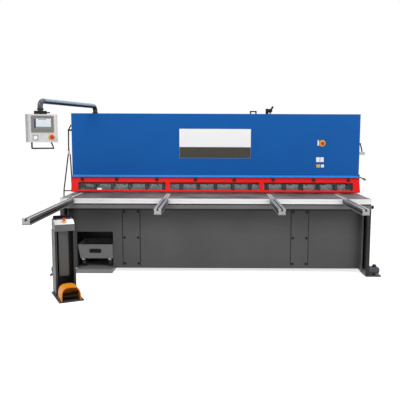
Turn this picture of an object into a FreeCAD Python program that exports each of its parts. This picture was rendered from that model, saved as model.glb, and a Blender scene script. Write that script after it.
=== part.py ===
import FreeCAD, Part
import math
import os

import Sketcher

# Hydraulic swing beam shear for sheets 3 m wide and 6 mm thick, in millimetres.
# X runs to the viewer's right, Y to the back and Z up.
# The origin lies on the floor, midway between the four floor anchor holes.

doc = FreeCAD.newDocument("swing_beam_shear")
sheet = doc.addObject("Spreadsheet::Sheet", "dims")

SIZES = [
    # frame
    ("width", 3400),
    ("plate", 40),
    ("frame_depth", 1640),
    ("floor_plate", 15),
    ("fit", 0.3),
    ("line", 2),
    # table
    ("table_height", 861),
    ("table_thick", 55),
    ("groove_tall", 16),
    ("groove_deep", 12),
    ("rail_tall", 39),
    ("rail_deep", 60),
    ("bed_plate", 25),
    ("table_depth", 665),
    ("bed_thick", 60),
    ("bed_bottom", 120),
    ("rib_thick", 20),
    ("rib_first", -1110),
    ("rib_pitch", 730),
    ("slot_mouth", 14),
    ("slot_wide", 24),
    ("slot_mouth_deep", 12),
    ("slot_deep", 24),
    ("slot_short", 130),
    # blades
    ("blade_length", 3140),
    ("blade_tall", 80),
    ("lower_blade_thick", 35),
    ("upper_blade_thick", 24),
    ("blade_gap", 0.8),
    ("blade_open", 14),
    ("blade_grip", 15),
    ("rake_rise", 50),
    ("seat_tall", 40),
    # side frame throat, arch and upper part
    ("throat_depth", 830),
    ("throat_top", 965),
    ("throat_round", 20),
    ("top_in", 200),
    ("slope_start", 1240),
    ("arch_in", 330),
    ("arch_tall", 110),
    ("arch_round", 25),
    # feet
    ("foot_wide", 170),
    ("foot_deep", 240),
    ("foot_out", 130),
    ("foot_past", 20),
    ("anchor_in", 190),
    ("anchor_out", 100),
    ("anchor_hole", 22),
    ("lug_out", 122),
    ("lug_in", 5),
    ("lug_deep", 110),
    ("lug_tall", 72),
    ("lug_lift", 28),
    ("level_in", 51),
    ("level_bolt", 24),
    ("level_head", 44),
    # front panel
    ("panel_back", 194),
    ("panel_thick", 12),
    ("panel_bottom", 42),
    ("opening_left", 130),
    ("opening_wide", 409),
    ("opening_top", 459),
    ("opening_round", 12),
    ("fold_in", 23),
    ("fold_thick", 15),
    ("fold_front", 60),
    ("plate_cover", 4),
    ("cover_x", 952),
    ("cover_wide", 188),
    ("plate_bottom", 74),
    ("plate_top", 715),
    ("plate_round", 20),
    ("inset_x", 707),
    ("inset_wide", 262),
    ("inset_bottom", 150),
    ("inset_top", 553),
    # blue cover
    ("cover_front", 589),
    ("cover_bottom", 1074),
    ("cover_top", 1797),
    ("cover_sheet", 3),
    ("cover_air", 4),
    ("cover_return", 20),
    ("lip_out", 33),
    ("lip_drop", 20),
    ("sign_left", 429),
    ("sign_wide", 842),
    ("sign_thick", 2),
    ("sign_bottom", 1277),
    ("sign_top", 1620),
    ("cover_stop_x", 1257),
    ("cover_stop_z", 1456),
    ("cover_stop_radius", 38),
    # guard
    ("guard_gap", 2),
    ("guard_tilt", 25),
    ("guard_tall", 193),
    ("guard_thick", 20),
    ("guard_post", 50),
    ("guard_bottom_rail", 22),
    ("guard_top_rail", 74),
    ("guard_end", 78),
    ("post_left", 565),
    ("post_right", 544),
    ("line_down", 18),
    ("window_thick", 6),
    ("window_below", 5),
    ("window_lap", 10),
    ("knob_radius", 16),
    ("knob_tall", 16),
    ("knob_down", 40),
    # hold-down
    ("clamp_front", 606),
    ("clamp_back", 664),
    ("clamp_bottom", 965),
    ("clamp_top", 1052),
    ("channel_tall", 56),
    ("plunger_pitch", 206),
    ("plunger_radius", 22),
    ("plunger_bottom", 886),
    # swing beam
    ("pivot_in", 240),
    ("pivot_height", 930),
    ("pivot_radius", 55),
    ("boss_radius", 110),
    ("boss_round", 60),
    ("tube_radius", 90),
    ("beam_arm", 40),
    ("beam_side_gap", 12),
    ("beam_web", 40),
    ("beam_top", 1290),
    ("beam_plate_back", 1000),
    ("gusset_bottom", 1010),
    ("gusset_foot", 30),
    ("pin_short", 4),
    ("pin_past", 10),
    # back gauge
    ("gauge_half", 1450),
    ("gauge_back", 1060),
    ("gauge_thick", 30),
    ("gauge_bottom", 832),
    ("gauge_top", 950),
    ("guide_tall", 40),
    ("guide_wide", 40),
    ("guide_x", 880),
    ("guide_past", 110),
    ("screw_radius", 12),
    ("screw_down", 890),
    # main cylinders, top beam and tank
    ("cylinder_in", 210),
    ("cylinder_back", 930),
    ("cylinder_radius", 110),
    ("cylinder_bore", 85),
    ("cylinder_tall", 330),
    ("bore_deep", 200),
    ("rod_radius", 45),
    ("rod_show", 95),
    ("top_beam_front", 620),
    ("top_beam_back", 1160),
    ("top_beam_height", 1680),
    ("top_beam_thick", 60),
    ("tank_wide", 2500),
    ("tank_front", 720),
    ("tank_deep", 400),
    ("tank_tall", 200),
    # rear
    ("slide_high", 735),
    ("slide_low", 330),
    ("slide_sheet", 6),
    ("slide_end", 1560),
    ("tie_in", 40),
    ("tie_deep", 60),
    ("tie_low", 120),
    ("tie_tall", 100),
    ("box_down", 50),
    ("box_tall", 410),
    ("box_wide", 700),
    ("box_deep", 230),
    ("box_in", 170),
    ("door_edge", 20),
    ("door_thick", 8),
    ("latch", 20),
    ("motor_x", 500),
    ("motor_long", 420),
    ("motor_radius", 110),
    ("motor_back", 90),
    ("motor_down", 100),
    ("motor_foot", 60),
    ("pump", 120),
    # arms
    ("arm_wide", 70),
    ("arm_tall", 58),
    ("side_groove", 22),
    ("side_groove_up", 14),
    ("side_groove_deep", 3),
    ("short_arm", 825),
    ("long_arm", 1470),
    ("long_arm_in", 118),
    ("fence_off", 3),
    ("fence_long", 450),
    ("fence_tall", 14),
    ("arm_left_x", 552),
    ("arm_middle_x", 624),
    ("arm_right_x", 1418),
    # top items and side rods
    ("bracket_x", 411),
    ("bracket_wide", 80),
    ("bracket_bar", 14),
    ("bracket_deep", 40),
    ("bracket_top", 1838),
    ("valve_back", 800),
    ("valve_x", 618),
    ("valve_wide", 34),
    ("valve_top", 1865),
    ("dial_radius", 24),
    ("lever", 12),
    ("side_rod", 12),
    ("clip_deep", 20),
    ("clip_high", 1590),
    ("clip_far", 45),
    ("clip_low", 990),
    ("clip_near", 20),
    ("fitting_z", 1320),
    ("fitting_wide", 67),
    ("rail_knob", 25),
    # boom and pendant
    ("post_in", 270),
    ("post_back", 660),
    ("post_wide", 70),
    ("riser", 24.7),
    ("boom_length", 1145),
    ("boom_angle", 16),
    ("boom_radius", 25),
    ("boom_bend", 60),
    ("casting", 54),
    ("casting_round", 34),
    ("drop", 38.7),
    ("coupling_tall", 34),
    ("coupling_radius", 62),
    ("clamp_lever", 30),
    ("pendant_wide", 285),
    ("pendant_shift", 7),
    ("pendant_deep", 150),
    ("pendant_tall", 274.5),
    ("pendant_yaw", 27),
    ("bezel_left", 105),
    ("bezel_wide", 215),
    ("bezel_tall", 162),
    ("bezel_down", 15),
    ("bezel_thick", 6),
    ("screen_edge", 26),
    ("screen_tall", 95),
    ("grip_bar", 14),
    ("grip_drop", 67),
    ("grip_left", 105),
    ("grip_right", 97),
    ("grip_slant", 22),
    ("pendant_stop_x", 87),
    ("pendant_stop_up", 50.5),
    # emergency stops
    ("stop_base", 8),
    ("stop_base_radius", 30),
    ("stop_radius", 22),
    ("stop_thick", 15),
    ("stop_gap", 19),
    ("stop_short", 6),
    ("stem", 14),
    # pedestal
    ("pedestal_x", 1430),
    ("pedestal_front", 810),
    ("pedestal_yaw", 26),
    ("base_wide", 230),
    ("base_long", 400),
    ("base_thick", 12),
    ("column_wide", 195),
    ("column_deep", 166),
    ("column_sheet", 5),
    ("column_lip", 20),
    ("column_top", 635),
    ("channel_wide", 94),
    ("channel_back", 78),
    ("channel_low", 180),
    ("console_wide", 186),
    ("console_past", 6),
    ("console_tall", 103),
    ("slope_deep", 69),
    ("slope_rise", 38),
    ("tray_edge", 18),
    ("tray_deep", 40),
    ("rim_bar", 10),
    ("rim_tall", 28),
    ("hood_wide", 186),
    ("hood_in", 8),
    ("hood_deep", 165),
    ("hood_tall", 127),
    ("hood_wall", 10),
    ("hood_round", 50),
    ("pedal_up", 34),
    ("pedal_thick", 8),
    ("pedal_air", 25),
    ("pedal_in", 20),
    ("pedal_hinge", 30),
    # cart
    ("cart_air", 6),
    ("cart_deep", 380),
    ("cart_back", 4),
    ("cart_top", 311),
    ("cart_wall", 4),
    ("cart_slant", 30),
    ("cart_slot", 136),
    ("cart_slot_low", 212),
    ("cart_slot_tall", 50),
    ("wheel_radius", 45),
    ("wheel_wide", 24),
    ("wheel_in", 48),
    ("wheel_end", 90),
    ("crown", 12),
    ("crown_air", 4),
    ("yoke", 4),
    ("yoke_gap", 1),
    ("axle_radius", 6),
    ("running_fit", 0.1),
    ("track_top", 45),
    ("track_front", 105),
    ("track_long", 490),
    ("track_sheet", 4),
    ("bay_side", 4),
    ("bay_lap", 20),
]

for row, (alias, number) in enumerate(SIZES, start=1):
    sheet.set(f"A{row}", alias)
    sheet.set(f"B{row}", str(number))
    sheet.setAlias(f"B{row}", alias)
doc.recompute()


class Size:
    """A length that carries both its value and the sheet formula behind it."""

    def __init__(self, value, text):
        self.value = value
        self.text = text

    def __add__(self, other):
        other = as_size(other)
        return Size(self.value + other.value, f"({self.text} + {other.text})")

    def __radd__(self, other):
        return as_size(other) + self

    def __sub__(self, other):
        other = as_size(other)
        return Size(self.value - other.value, f"({self.text} - {other.text})")

    def __rsub__(self, other):
        return as_size(other) - self

    def __mul__(self, other):
        other = as_size(other)
        return Size(self.value * other.value, f"({self.text} * {other.text})")

    def __rmul__(self, other):
        return as_size(other) * self

    def __truediv__(self, other):
        other = as_size(other)
        return Size(self.value / other.value, f"({self.text} / {other.text})")

    def __neg__(self):
        return Size(-self.value, f"(0 - {self.text})")


def as_size(number):
    if isinstance(number, Size):
        return number
    return Size(float(number), f"({float(number)!r})")


def sine(angle):
    angle = as_size(angle)
    return Size(math.sin(math.radians(angle.value)), f"sin({angle.text} * 1 deg)")


def cosine(angle):
    angle = as_size(angle)
    return Size(math.cos(math.radians(angle.value)), f"cos({angle.text} * 1 deg)")


class Sheet:
    """Reads every named size of the spreadsheet as a Size."""

    def __init__(self):
        for alias, number in SIZES:
            setattr(self, alias, Size(float(sheet.get(alias)), f"dims.{alias}"))


d = Sheet()
nodes = []


def bind(thing, prop, size):
    size = as_size(size)
    thing.setExpression(prop, size.text)


def put(thing, x=0, y=0, z=0, turn=None):
    """Places a piece; turn is an axis and an angle in degrees."""
    if turn:
        axis, angle = turn
        angle = as_size(angle)
        thing.Placement = FreeCAD.Placement(
            FreeCAD.Vector(0, 0, 0), FreeCAD.Rotation(FreeCAD.Vector(*axis), angle.value)
        )
        bind(thing, "Placement.Rotation.Angle", angle)
    bind(thing, "Placement.Base.x", x)
    bind(thing, "Placement.Base.y", y)
    bind(thing, "Placement.Base.z", z)
    return thing


def block(x, y, z):
    """A box between two values on each axis."""
    box = doc.addObject("Part::Box", "block")
    bind(box, "Length", x[1] - as_size(x[0]))
    bind(box, "Width", y[1] - as_size(y[0]))
    bind(box, "Height", z[1] - as_size(z[0]))
    return put(box, x[0], y[0], z[0])


TURN_TO = {
    "x": ((0, 1, 0), 90),
    "y": ((1, 0, 0), -90),
    "z": None,
}


def rod(axis, radius, length, x, y, z):
    """A cylinder that starts at a point and runs along plus X, Y or Z."""
    cylinder = doc.addObject("Part::Cylinder", "rod")
    bind(cylinder, "Radius", radius)
    bind(cylinder, "Height", length)
    return put(cylinder, x, y, z, TURN_TO[axis])


def join(pieces):
    if len(pieces) == 1:
        return pieces[0]
    fused = doc.addObject("Part::MultiFuse", "join")
    fused.Shapes = pieces
    return fused


def group(pieces):
    """Like pieces that stand apart in one node."""
    together = doc.addObject("Part::Compound", "group")
    together.Links = pieces
    return together


def cut(base, tools):
    result = doc.addObject("Part::Cut", "cut")
    result.Base = base
    result.Tool = join(tools)
    return result


def node(name, thing):
    thing.Label = name
    nodes.append(thing)
    return thing


def origin_plane(body, role):
    for feature in body.Origin.OriginFeatures:
        if feature.Role == role:
            return feature
    raise ValueError(role)


def outline(sketch, corners):
    """Draws a closed outline; each corner is (u, v) or (u, v, round radius)."""
    count = len(corners)
    flat = [(as_size(c[0]), as_size(c[1]), as_size(c[2]) if len(c) > 2 else None) for c in corners]
    starts = []
    ends = []
    for i in range(count):
        u, v, radius = flat[i]
        here = FreeCAD.Vector(u.value, v.value, 0)
        if radius is None:
            starts.append(here)
            ends.append(here)
            continue
        before = FreeCAD.Vector(flat[i - 1][0].value, flat[i - 1][1].value, 0) - here
        after_corner = flat[(i + 1) % count]
        after = FreeCAD.Vector(after_corner[0].value, after_corner[1].value, 0) - here
        before.normalize()
        after.normalize()
        half = before.getAngle(after) / 2
        back = radius.value / math.tan(half)
        ends.append(here + before * back)
        starts.append(here + after * back)
    lines = []
    for i in range(count):
        following = (i + 1) % count
        line = Part.LineSegment(starts[i], ends[following])
        lines.append(sketch.addGeometry(line, False))
    for i in range(count):
        u, v, radius = flat[i]
        incoming = lines[i - 1]
        outgoing = lines[i]
        if radius is None:
            sketch.addConstraint(Sketcher.Constraint("Coincident", incoming, 2, outgoing, 1))
            fix_point(sketch, outgoing, 1, u, v)
            continue
        corner = FreeCAD.Vector(u.value, v.value, 0)
        inward = (ends[i] - corner) + (starts[i] - corner)
        inward.normalize()
        reach = math.hypot((ends[i] - corner).Length, radius.value)
        centre = corner + inward * reach
        first = math.atan2(ends[i].y - centre.y, ends[i].x - centre.x)
        last = math.atan2(starts[i].y - centre.y, starts[i].x - centre.x)
        turn_left = (ends[i] - centre).cross(starts[i] - centre).z > 0
        circle = Part.Circle(centre, FreeCAD.Vector(0, 0, 1), radius.value)
        if turn_left:
            arc = sketch.addGeometry(Part.ArcOfCircle(circle, first, last), False)
            arc_in, arc_out = 1, 2
        else:
            arc = sketch.addGeometry(Part.ArcOfCircle(circle, last, first), False)
            arc_in, arc_out = 2, 1
        sketch.addConstraint(Sketcher.Constraint("Tangent", incoming, 2, arc, arc_in))
        sketch.addConstraint(Sketcher.Constraint("Tangent", arc, arc_out, outgoing, 1))
        round_size = sketch.addConstraint(Sketcher.Constraint("Radius", arc, radius.value))
        sketch.setExpression(f"Constraints[{round_size}]", radius.text)
        mark = sketch.addGeometry(Part.Point(corner), True)
        sketch.addConstraint(Sketcher.Constraint("PointOnObject", mark, 1, incoming))
        sketch.addConstraint(Sketcher.Constraint("PointOnObject", mark, 1, outgoing))
        fix_point(sketch, mark, 1, u, v)


def fix_point(sketch, geometry, end, u, v):
    for kind, size in (("DistanceX", u), ("DistanceY", v)):
        index = sketch.addConstraint(Sketcher.Constraint(kind, -1, 1, geometry, end, size.value))
        sketch.setExpression(f"Constraints[{index}]", size.text)


def ring(sketch, u, v, radius):
    """Draws a full circle."""
    u, v, radius = as_size(u), as_size(v), as_size(radius)
    centre = FreeCAD.Vector(u.value, v.value, 0)
    circle = sketch.addGeometry(Part.Circle(centre, FreeCAD.Vector(0, 0, 1), radius.value), False)
    fix_point(sketch, circle, 3, u, v)
    index = sketch.addConstraint(Sketcher.Constraint("Radius", circle, radius.value))
    sketch.setExpression(f"Constraints[{index}]", radius.text)


def profile(role, outlines, start, length, rings=()):
    """A body padded from outlines on one of its own origin planes.

    YZ_Plane sketches read (y, z) and grow along X, XZ_Plane ones read (x, z) and grow
    towards minus Y, and XY_Plane ones read (x, y) and grow along Z.
    """
    body = doc.addObject("PartDesign::Body", "body")
    sketch = body.newObject("Sketcher::SketchObject", "outline")
    sketch.AttachmentSupport = [(origin_plane(body, role), "")]
    sketch.MapMode = "FlatFace"
    for corners in outlines:
        outline(sketch, corners)
    for u, v, radius in rings:
        ring(sketch, u, v, radius)
    pad = body.newObject("PartDesign::Pad", "pad")
    pad.Profile = sketch
    bind(pad, "Length", length)
    if role == "YZ_Plane":
        bind(body, "Placement.Base.x", start)
    elif role == "XZ_Plane":
        bind(body, "Placement.Base.y", start)
    else:
        bind(body, "Placement.Base.z", start)
    sketch.Visibility = False
    return body


def rectangle(u, v, radius=None):
    corners = [(u[0], v[0]), (u[1], v[0]), (u[1], v[1]), (u[0], v[1])]
    if radius is None:
        return corners
    return [(a, b, radius) for a, b in corners]


def span(side, inner, outer):
    """An X range that grows outward on the chosen side."""
    if side > 0:
        return (as_size(inner), as_size(outer))
    return (-as_size(outer), -as_size(inner))


def prism(axis, sides, radius, length, x, y, z):
    """A many-sided bar that starts at a point and runs along plus X, Y or Z."""
    bar = doc.addObject("Part::Prism", "prism")
    bar.Polygon = sides
    bind(bar, "Circumradius", radius)
    bind(bar, "Height", length)
    return put(bar, x, y, z, TURN_TO[axis])


def strut(start, end, thick, y):
    """A square bar between two (x, z) points, centred on a plane across the depth."""
    run = end[0] - start[0]
    rise = end[1] - start[1]
    length = math.hypot(run, rise)
    bar = doc.addObject("Part::Box", "strut")
    bar.Length = length
    bind(bar, "Width", thick)
    bind(bar, "Height", thick)
    low_x = start[0] + rise / length * thick.value / 2
    low_z = start[1] - run / length * thick.value / 2
    angle = -math.degrees(math.atan2(rise, run))
    return put(bar, low_x, y - thick / 2, low_z, ((0, 1, 0), angle))


# Shared places. The table's front face is the front of the machine.
front = -d.frame_depth / 2
right_out = d.width / 2
right_in = right_out - d.plate
left_out = -right_out
left_in = -right_in


def deep(distance):
    """A place measured back from the table's front face."""
    return front + distance


table_under = d.table_height - d.table_thick
rail_top = table_under - d.groove_tall
rail_bottom = rail_top - d.rail_tall
bed_under = table_under - d.bed_plate
blade_line = deep(d.table_depth + d.lower_blade_thick)
upper_blade_front = blade_line + d.blade_gap
upper_front = deep(d.cover_front + d.cover_sheet)
frame_top = d.cover_top - d.cover_sheet - d.cover_air
pivot_y = deep(d.frame_depth - d.pivot_in)

# Side frames: C-shaped plates with a throat behind the table.
side_outline = [
    (deep(0), d.floor_plate),
    (deep(d.arch_in), d.floor_plate),
    (deep(d.arch_in), d.floor_plate + d.arch_tall, d.arch_round),
    (deep(d.frame_depth - d.arch_in), d.floor_plate + d.arch_tall, d.arch_round),
    (deep(d.frame_depth - d.arch_in), d.floor_plate),
    (deep(d.frame_depth), d.floor_plate),
    (deep(d.frame_depth), d.slope_start),
    (deep(d.frame_depth - d.top_in), frame_top),
    (upper_front, frame_top),
    (upper_front, d.throat_top),
    (deep(d.throat_depth), d.throat_top, d.throat_round),
    (deep(d.throat_depth), bed_under, d.throat_round),
    (deep(d.rail_deep), bed_under),
    (deep(d.rail_deep), rail_bottom),
    (deep(0), rail_bottom),
]
pivot_ring = (pivot_y, d.pivot_height, d.pivot_radius)
for name, start in (("side_frame_left", left_out), ("side_frame_right", right_in)):
    node(name, profile("YZ_Plane", [side_outline], start, d.plate, [pivot_ring]))

# Feet: floor plates with anchor holes, lugs on the side frames and levelling bolts.
foot_outer = right_out + d.foot_out
foot_inner = foot_outer - d.foot_wide
anchor_x = right_out + d.anchor_out
floor_plates = []
lugs = []
bolts = []
for side in (1, -1):
    for end in ("front", "back"):
        if end == "front":
            plate_y = (deep(-d.foot_past), deep(-d.foot_past) + d.foot_deep)
            anchor_y = deep(d.anchor_in)
            lug_y = (deep(d.lug_in), deep(d.lug_in) + d.lug_deep)
        else:
            plate_y = (deep(d.frame_depth + d.foot_past) - d.foot_deep, deep(d.frame_depth + d.foot_past))
            anchor_y = deep(d.frame_depth - d.anchor_in)
            lug_y = (deep(d.frame_depth - d.lug_in) - d.lug_deep, deep(d.frame_depth - d.lug_in))
        plate = block(span(side, foot_inner, foot_outer), plate_y, (0, d.floor_plate))
        hole = rod("z", d.anchor_hole / 2, d.floor_plate + 2, side * anchor_x, anchor_y, -1)
        floor_plates.append(cut(plate, [hole]))
        lug_top = d.lug_lift + d.lug_tall
        lug = block(span(side, right_out, right_out + d.lug_out), lug_y, (d.lug_lift, lug_top))
        bolt_x = side * (right_out + d.lug_out - d.level_in)
        bolt_y = (lug_y[0] + lug_y[1]) / 2
        bolt_hole = rod("z", d.level_bolt / 2, d.lug_tall + 2, bolt_x, bolt_y, d.lug_lift - 1)
        lugs.append(cut(lug, [bolt_hole]))
        shank_top = lug_top + d.fit
        shank = rod("z", d.level_bolt / 2 - d.fit, shank_top - d.floor_plate, bolt_x, bolt_y, d.floor_plate)
        head = prism("z", 6, d.level_head / 2, d.level_head / 2, bolt_x, bolt_y, shank_top)
        bolts.append(join([shank, head]))
node("floor_plates", group(floor_plates))
node("levelling_lugs", group(lugs))
node("levelling_bolts", group(bolts))

# Table: a machined plate with T-slots in line with the arms.
arm_centres = [left_in + d.long_arm_in - d.plate, -d.arm_left_x, d.arm_middle_x, d.arm_right_x]
slot_end = deep(d.clamp_front - d.slot_short)
slot_half = d.slot_mouth / 2
slot_wide_half = d.slot_wide / 2


def slot_outline(centre):
    """The T-slot's section, open at the table's top."""
    neck = d.table_height - d.slot_mouth_deep
    bottom = d.table_height - d.slot_deep
    return [
        (centre - slot_half, d.table_height + 1),
        (centre - slot_half, neck),
        (centre - slot_wide_half, neck),
        (centre - slot_wide_half, bottom),
        (centre + slot_wide_half, bottom),
        (centre + slot_wide_half, neck),
        (centre + slot_half, neck),
        (centre + slot_half, d.table_height + 1),
    ]


table_plate = block((left_out, right_out), (deep(0), deep(d.table_depth)), (table_under, d.table_height))
slots = []
for centre in arm_centres:
    slots.append(profile("XZ_Plane", [slot_outline(centre)], slot_end, slot_end - deep(-1)))
line_z = table_under + d.table_thick / 2
front_line = block((left_out - 1, right_out + 1), (deep(-1), deep(d.line)), (line_z, line_z + d.line))
node("table_top", cut(table_plate, slots + [front_line]))

bed_outline = [
    (deep(0), rail_bottom),
    (deep(0), rail_top),
    (deep(d.groove_deep), rail_top),
    (deep(d.groove_deep), table_under),
    (deep(d.table_depth), table_under),
    (deep(d.table_depth), bed_under),
    (deep(d.rail_deep), bed_under),
    (deep(d.rail_deep), rail_bottom),
]
node("table_bed", profile("YZ_Plane", [bed_outline], left_out, d.width))

bed_back = deep(d.table_depth)
bed_front = bed_back - d.bed_thick
panel_face = deep(d.panel_back)
panel_inner = panel_face + d.panel_thick
half_blade = d.blade_length / 2
blade_seat = d.table_height - d.blade_tall
bed_pieces = [
    block((left_in, right_in), (bed_front, bed_back), (d.bed_bottom, bed_under)),
    block((-half_blade, half_blade), (bed_back - 1, blade_line), (blade_seat - d.seat_tall, blade_seat)),
]
rib_places = [d.rib_first + i * d.rib_pitch for i in range(4)]
for x in rib_places:
    rib_y = (panel_inner, bed_front + 1)
    bed_pieces.append(block((x, x + d.rib_thick), rib_y, (d.bed_bottom, bed_under)))
node("bed_beam", join(bed_pieces))
node("lower_blade", block((-half_blade, half_blade), (bed_back, blade_line), (blade_seat, d.table_height)))

# Front panel with the cart opening and folded ends, and its bolted covers.
opening = (left_out + d.opening_left, left_out + d.opening_left + d.opening_wide)
panel_outline = [
    (left_in, d.panel_bottom),
    (opening[0], d.panel_bottom),
    (opening[0], d.opening_top, d.opening_round),
    (opening[1], d.opening_top, d.opening_round),
    (opening[1], d.panel_bottom),
    (right_in, d.panel_bottom),
    (right_in, rail_bottom),
    (left_in, rail_bottom),
]
panel_pieces = [profile("XZ_Plane", [panel_outline], panel_inner, d.panel_thick)]
for side in (1, -1):
    fold_x = span(side, right_in - d.fold_in - d.fold_thick, right_in - d.fold_in)
    panel_pieces.append(block(fold_x, (deep(d.fold_front), panel_face + 1), (d.panel_bottom, rail_bottom)))
node("front_panel", join(panel_pieces))


def face_plate(centre, wide, bottom, top, radius, thick):
    sides = (centre - wide / 2, centre + wide / 2)
    return profile("XZ_Plane", [rectangle(sides, (bottom, top), radius)], panel_face, thick)


inset_thick = d.plate_cover / 2
node("panel_covers", group([
    face_plate(-d.cover_x, d.cover_wide, d.plate_bottom, d.plate_top, d.plate_round, d.plate_cover),
    face_plate(d.cover_x, d.cover_wide, d.plate_bottom, d.plate_top, d.plate_round, d.plate_cover),
    face_plate(-d.inset_x, d.inset_wide, d.inset_bottom, d.inset_top, None, inset_thick),
    face_plate(d.inset_x, d.inset_wide, d.inset_bottom, d.inset_top, None, inset_thick),
]))

# Cart track: a folded sheet that stands on the floor, closed at both ends.
track_y = (deep(d.track_front), deep(d.track_front) + d.track_long)
track_outline = [
    (track_y[0], 0),
    (track_y[0], d.track_top),
    (track_y[1], d.track_top),
    (track_y[1], 0),
    (track_y[1] - d.track_sheet, 0),
    (track_y[1] - d.track_sheet, d.track_top - d.track_sheet),
    (track_y[0] + d.track_sheet, d.track_top - d.track_sheet),
    (track_y[0] + d.track_sheet, 0),
]
track_pieces = [profile("YZ_Plane", [track_outline], opening[0], opening[1] - opening[0])]
for x in ((opening[0], opening[0] + d.track_sheet), (opening[1] - d.track_sheet, opening[1])):
    track_pieces.append(block(x, track_y, (0, d.track_top)))
node("cart_track", join(track_pieces))

# Low sheet that closes the cart bay on its left and behind the track.
bay_left = opening[0] - d.bay_side
bay_outline = [
    (bay_left, panel_inner),
    (opening[0], panel_inner),
    (opening[0], track_y[1]),
    (d.rib_first, track_y[1]),
    (d.rib_first, bed_front),
    (bay_left, bed_front),
]
node("cart_bay_wall", profile("XY_Plane", [bay_outline], 0, d.bed_bottom + d.bay_lap))


# Arms in front of the table: extrusions with a T-slot on top and a groove in each side.
def arm_outline(centre):
    half = d.arm_wide / 2
    arm_bottom = d.table_height - d.arm_tall
    groove_z = (arm_bottom + d.side_groove_up, arm_bottom + d.side_groove_up + d.side_groove)
    groove_half = half - d.side_groove_deep
    right_side = [
        (centre + half, arm_bottom),
        (centre + half, groove_z[0]),
        (centre + groove_half, groove_z[0]),
        (centre + groove_half, groove_z[1]),
        (centre + half, groove_z[1]),
        (centre + half, d.table_height),
    ]
    left_side = [(centre + centre - u, v) for u, v in reversed(right_side)]
    t_slot = list(reversed(slot_outline(centre)[1:-1]))
    mouth = [(centre + slot_half, d.table_height)] + t_slot + [(centre - slot_half, d.table_height)]
    return right_side + mouth + left_side


node("squaring_arm", profile("XZ_Plane", [arm_outline(arm_centres[0])], deep(0), d.long_arm))
fence_x = (arm_centres[0] + d.slot_mouth / 2 + d.fence_off, arm_centres[0] + d.arm_wide / 2)
fence_z = (d.table_height, d.table_height + d.fence_tall)
node("squaring_fence", block(fence_x, (deep(0), deep(d.fence_long)), fence_z))
short_arms = [profile("XZ_Plane", [arm_outline(x)], deep(0), d.short_arm) for x in arm_centres[1:]]
node("support_arms", group(short_arms))

# Blue front cover, a folded sheet that seats on the side frames' front edges.
cover_face = deep(d.cover_front)
cover_fold = upper_front + d.cover_return
cover_outline = [
    (cover_face, d.cover_bottom),
    (cover_face, d.cover_top),
    (cover_fold, d.cover_top),
    (cover_fold, d.cover_top - d.cover_sheet),
    (upper_front, d.cover_top - d.cover_sheet),
    (upper_front, d.cover_bottom),
    (upper_front - d.lip_out, d.cover_bottom - d.lip_drop),
    (cover_face - d.lip_out, d.cover_bottom - d.lip_drop),
]
node("front_cover", profile("YZ_Plane", [cover_outline], left_out, d.width))
sign_x = (-d.sign_left, -d.sign_left + d.sign_wide)
node("name_plate", block(sign_x, (cover_face - d.sign_thick, cover_face), (d.sign_bottom, d.sign_top)))

# Red guard in front of the hold-downs, leaning forward at its foot.
guard_top = d.cover_bottom - d.lip_drop - d.guard_gap


def guard_piece(thing):
    """Hangs a piece from the cover's lip; it is drawn upright with its top at zero."""
    return put(thing, 0, upper_front, guard_top, ((1, 0, 0), -d.guard_tilt))


window_z = (-d.guard_tall + d.guard_bottom_rail, -d.guard_top_rail)
post_half = d.guard_post / 2
window_edges = [
    (left_out + d.guard_end, -d.post_left - post_half),
    (-d.post_left + post_half, d.post_right - post_half),
    (d.post_right + post_half, right_out - d.guard_end),
]
guard_holes = [rectangle(edges, window_z) for edges in window_edges]
guard_plate = rectangle((left_out, right_out), (-d.guard_tall, 0))
guard_sheet = profile("XZ_Plane", [guard_plate] + guard_holes, 0, d.guard_thick)
edge_line = (-d.line_down - d.line, -d.line_down)
guard_line = block((left_out - 1, right_out + 1), (-d.guard_thick - 1, d.line - d.guard_thick), edge_line)
node("guard_frame", guard_piece(cut(guard_sheet, [guard_line])))

pane_z = (-d.guard_tall - d.window_below, -d.guard_top_rail + d.window_lap)
windows = []
for left, right in window_edges:
    windows.append(block((left - d.window_lap, right + d.window_lap), (0, d.window_thick), pane_z))
node("guard_windows", guard_piece(group(windows)))

knobs = []
for x in (-1576, -1171, -696, -239, 220, 679, 1159, 1570):
    knobs.append(prism("y", 12, d.knob_radius, d.knob_tall, x, -d.guard_thick - d.knob_tall, -d.knob_down))
node("guard_knobs", guard_piece(group(knobs)))

# Hold-down beam, a channel open downward, and the plungers that press on the sheet.
clamp_y = (deep(d.clamp_front), deep(d.clamp_back))
plunger_y = (clamp_y[0] + clamp_y[1]) / 2
channel_half = d.plunger_radius + d.fit
channel_top = d.clamp_bottom + d.channel_tall
clamp_outline = [
    (clamp_y[0], d.clamp_bottom),
    (clamp_y[0], d.clamp_top),
    (clamp_y[1], d.clamp_top),
    (clamp_y[1], d.clamp_bottom),
    (plunger_y + channel_half, d.clamp_bottom),
    (plunger_y + channel_half, channel_top),
    (plunger_y - channel_half, channel_top),
    (plunger_y - channel_half, d.clamp_bottom),
]
node("hold_down_beam", profile("YZ_Plane", [clamp_outline], left_in, right_in - left_in))
plunger_tall = channel_top - d.fit - d.plunger_bottom
plungers = []
for i in range(-7, 8):
    plungers.append(rod("z", d.plunger_radius, plunger_tall, i * d.plunger_pitch, plunger_y, d.plunger_bottom))
node("hold_down_plungers", group(plungers))

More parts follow.
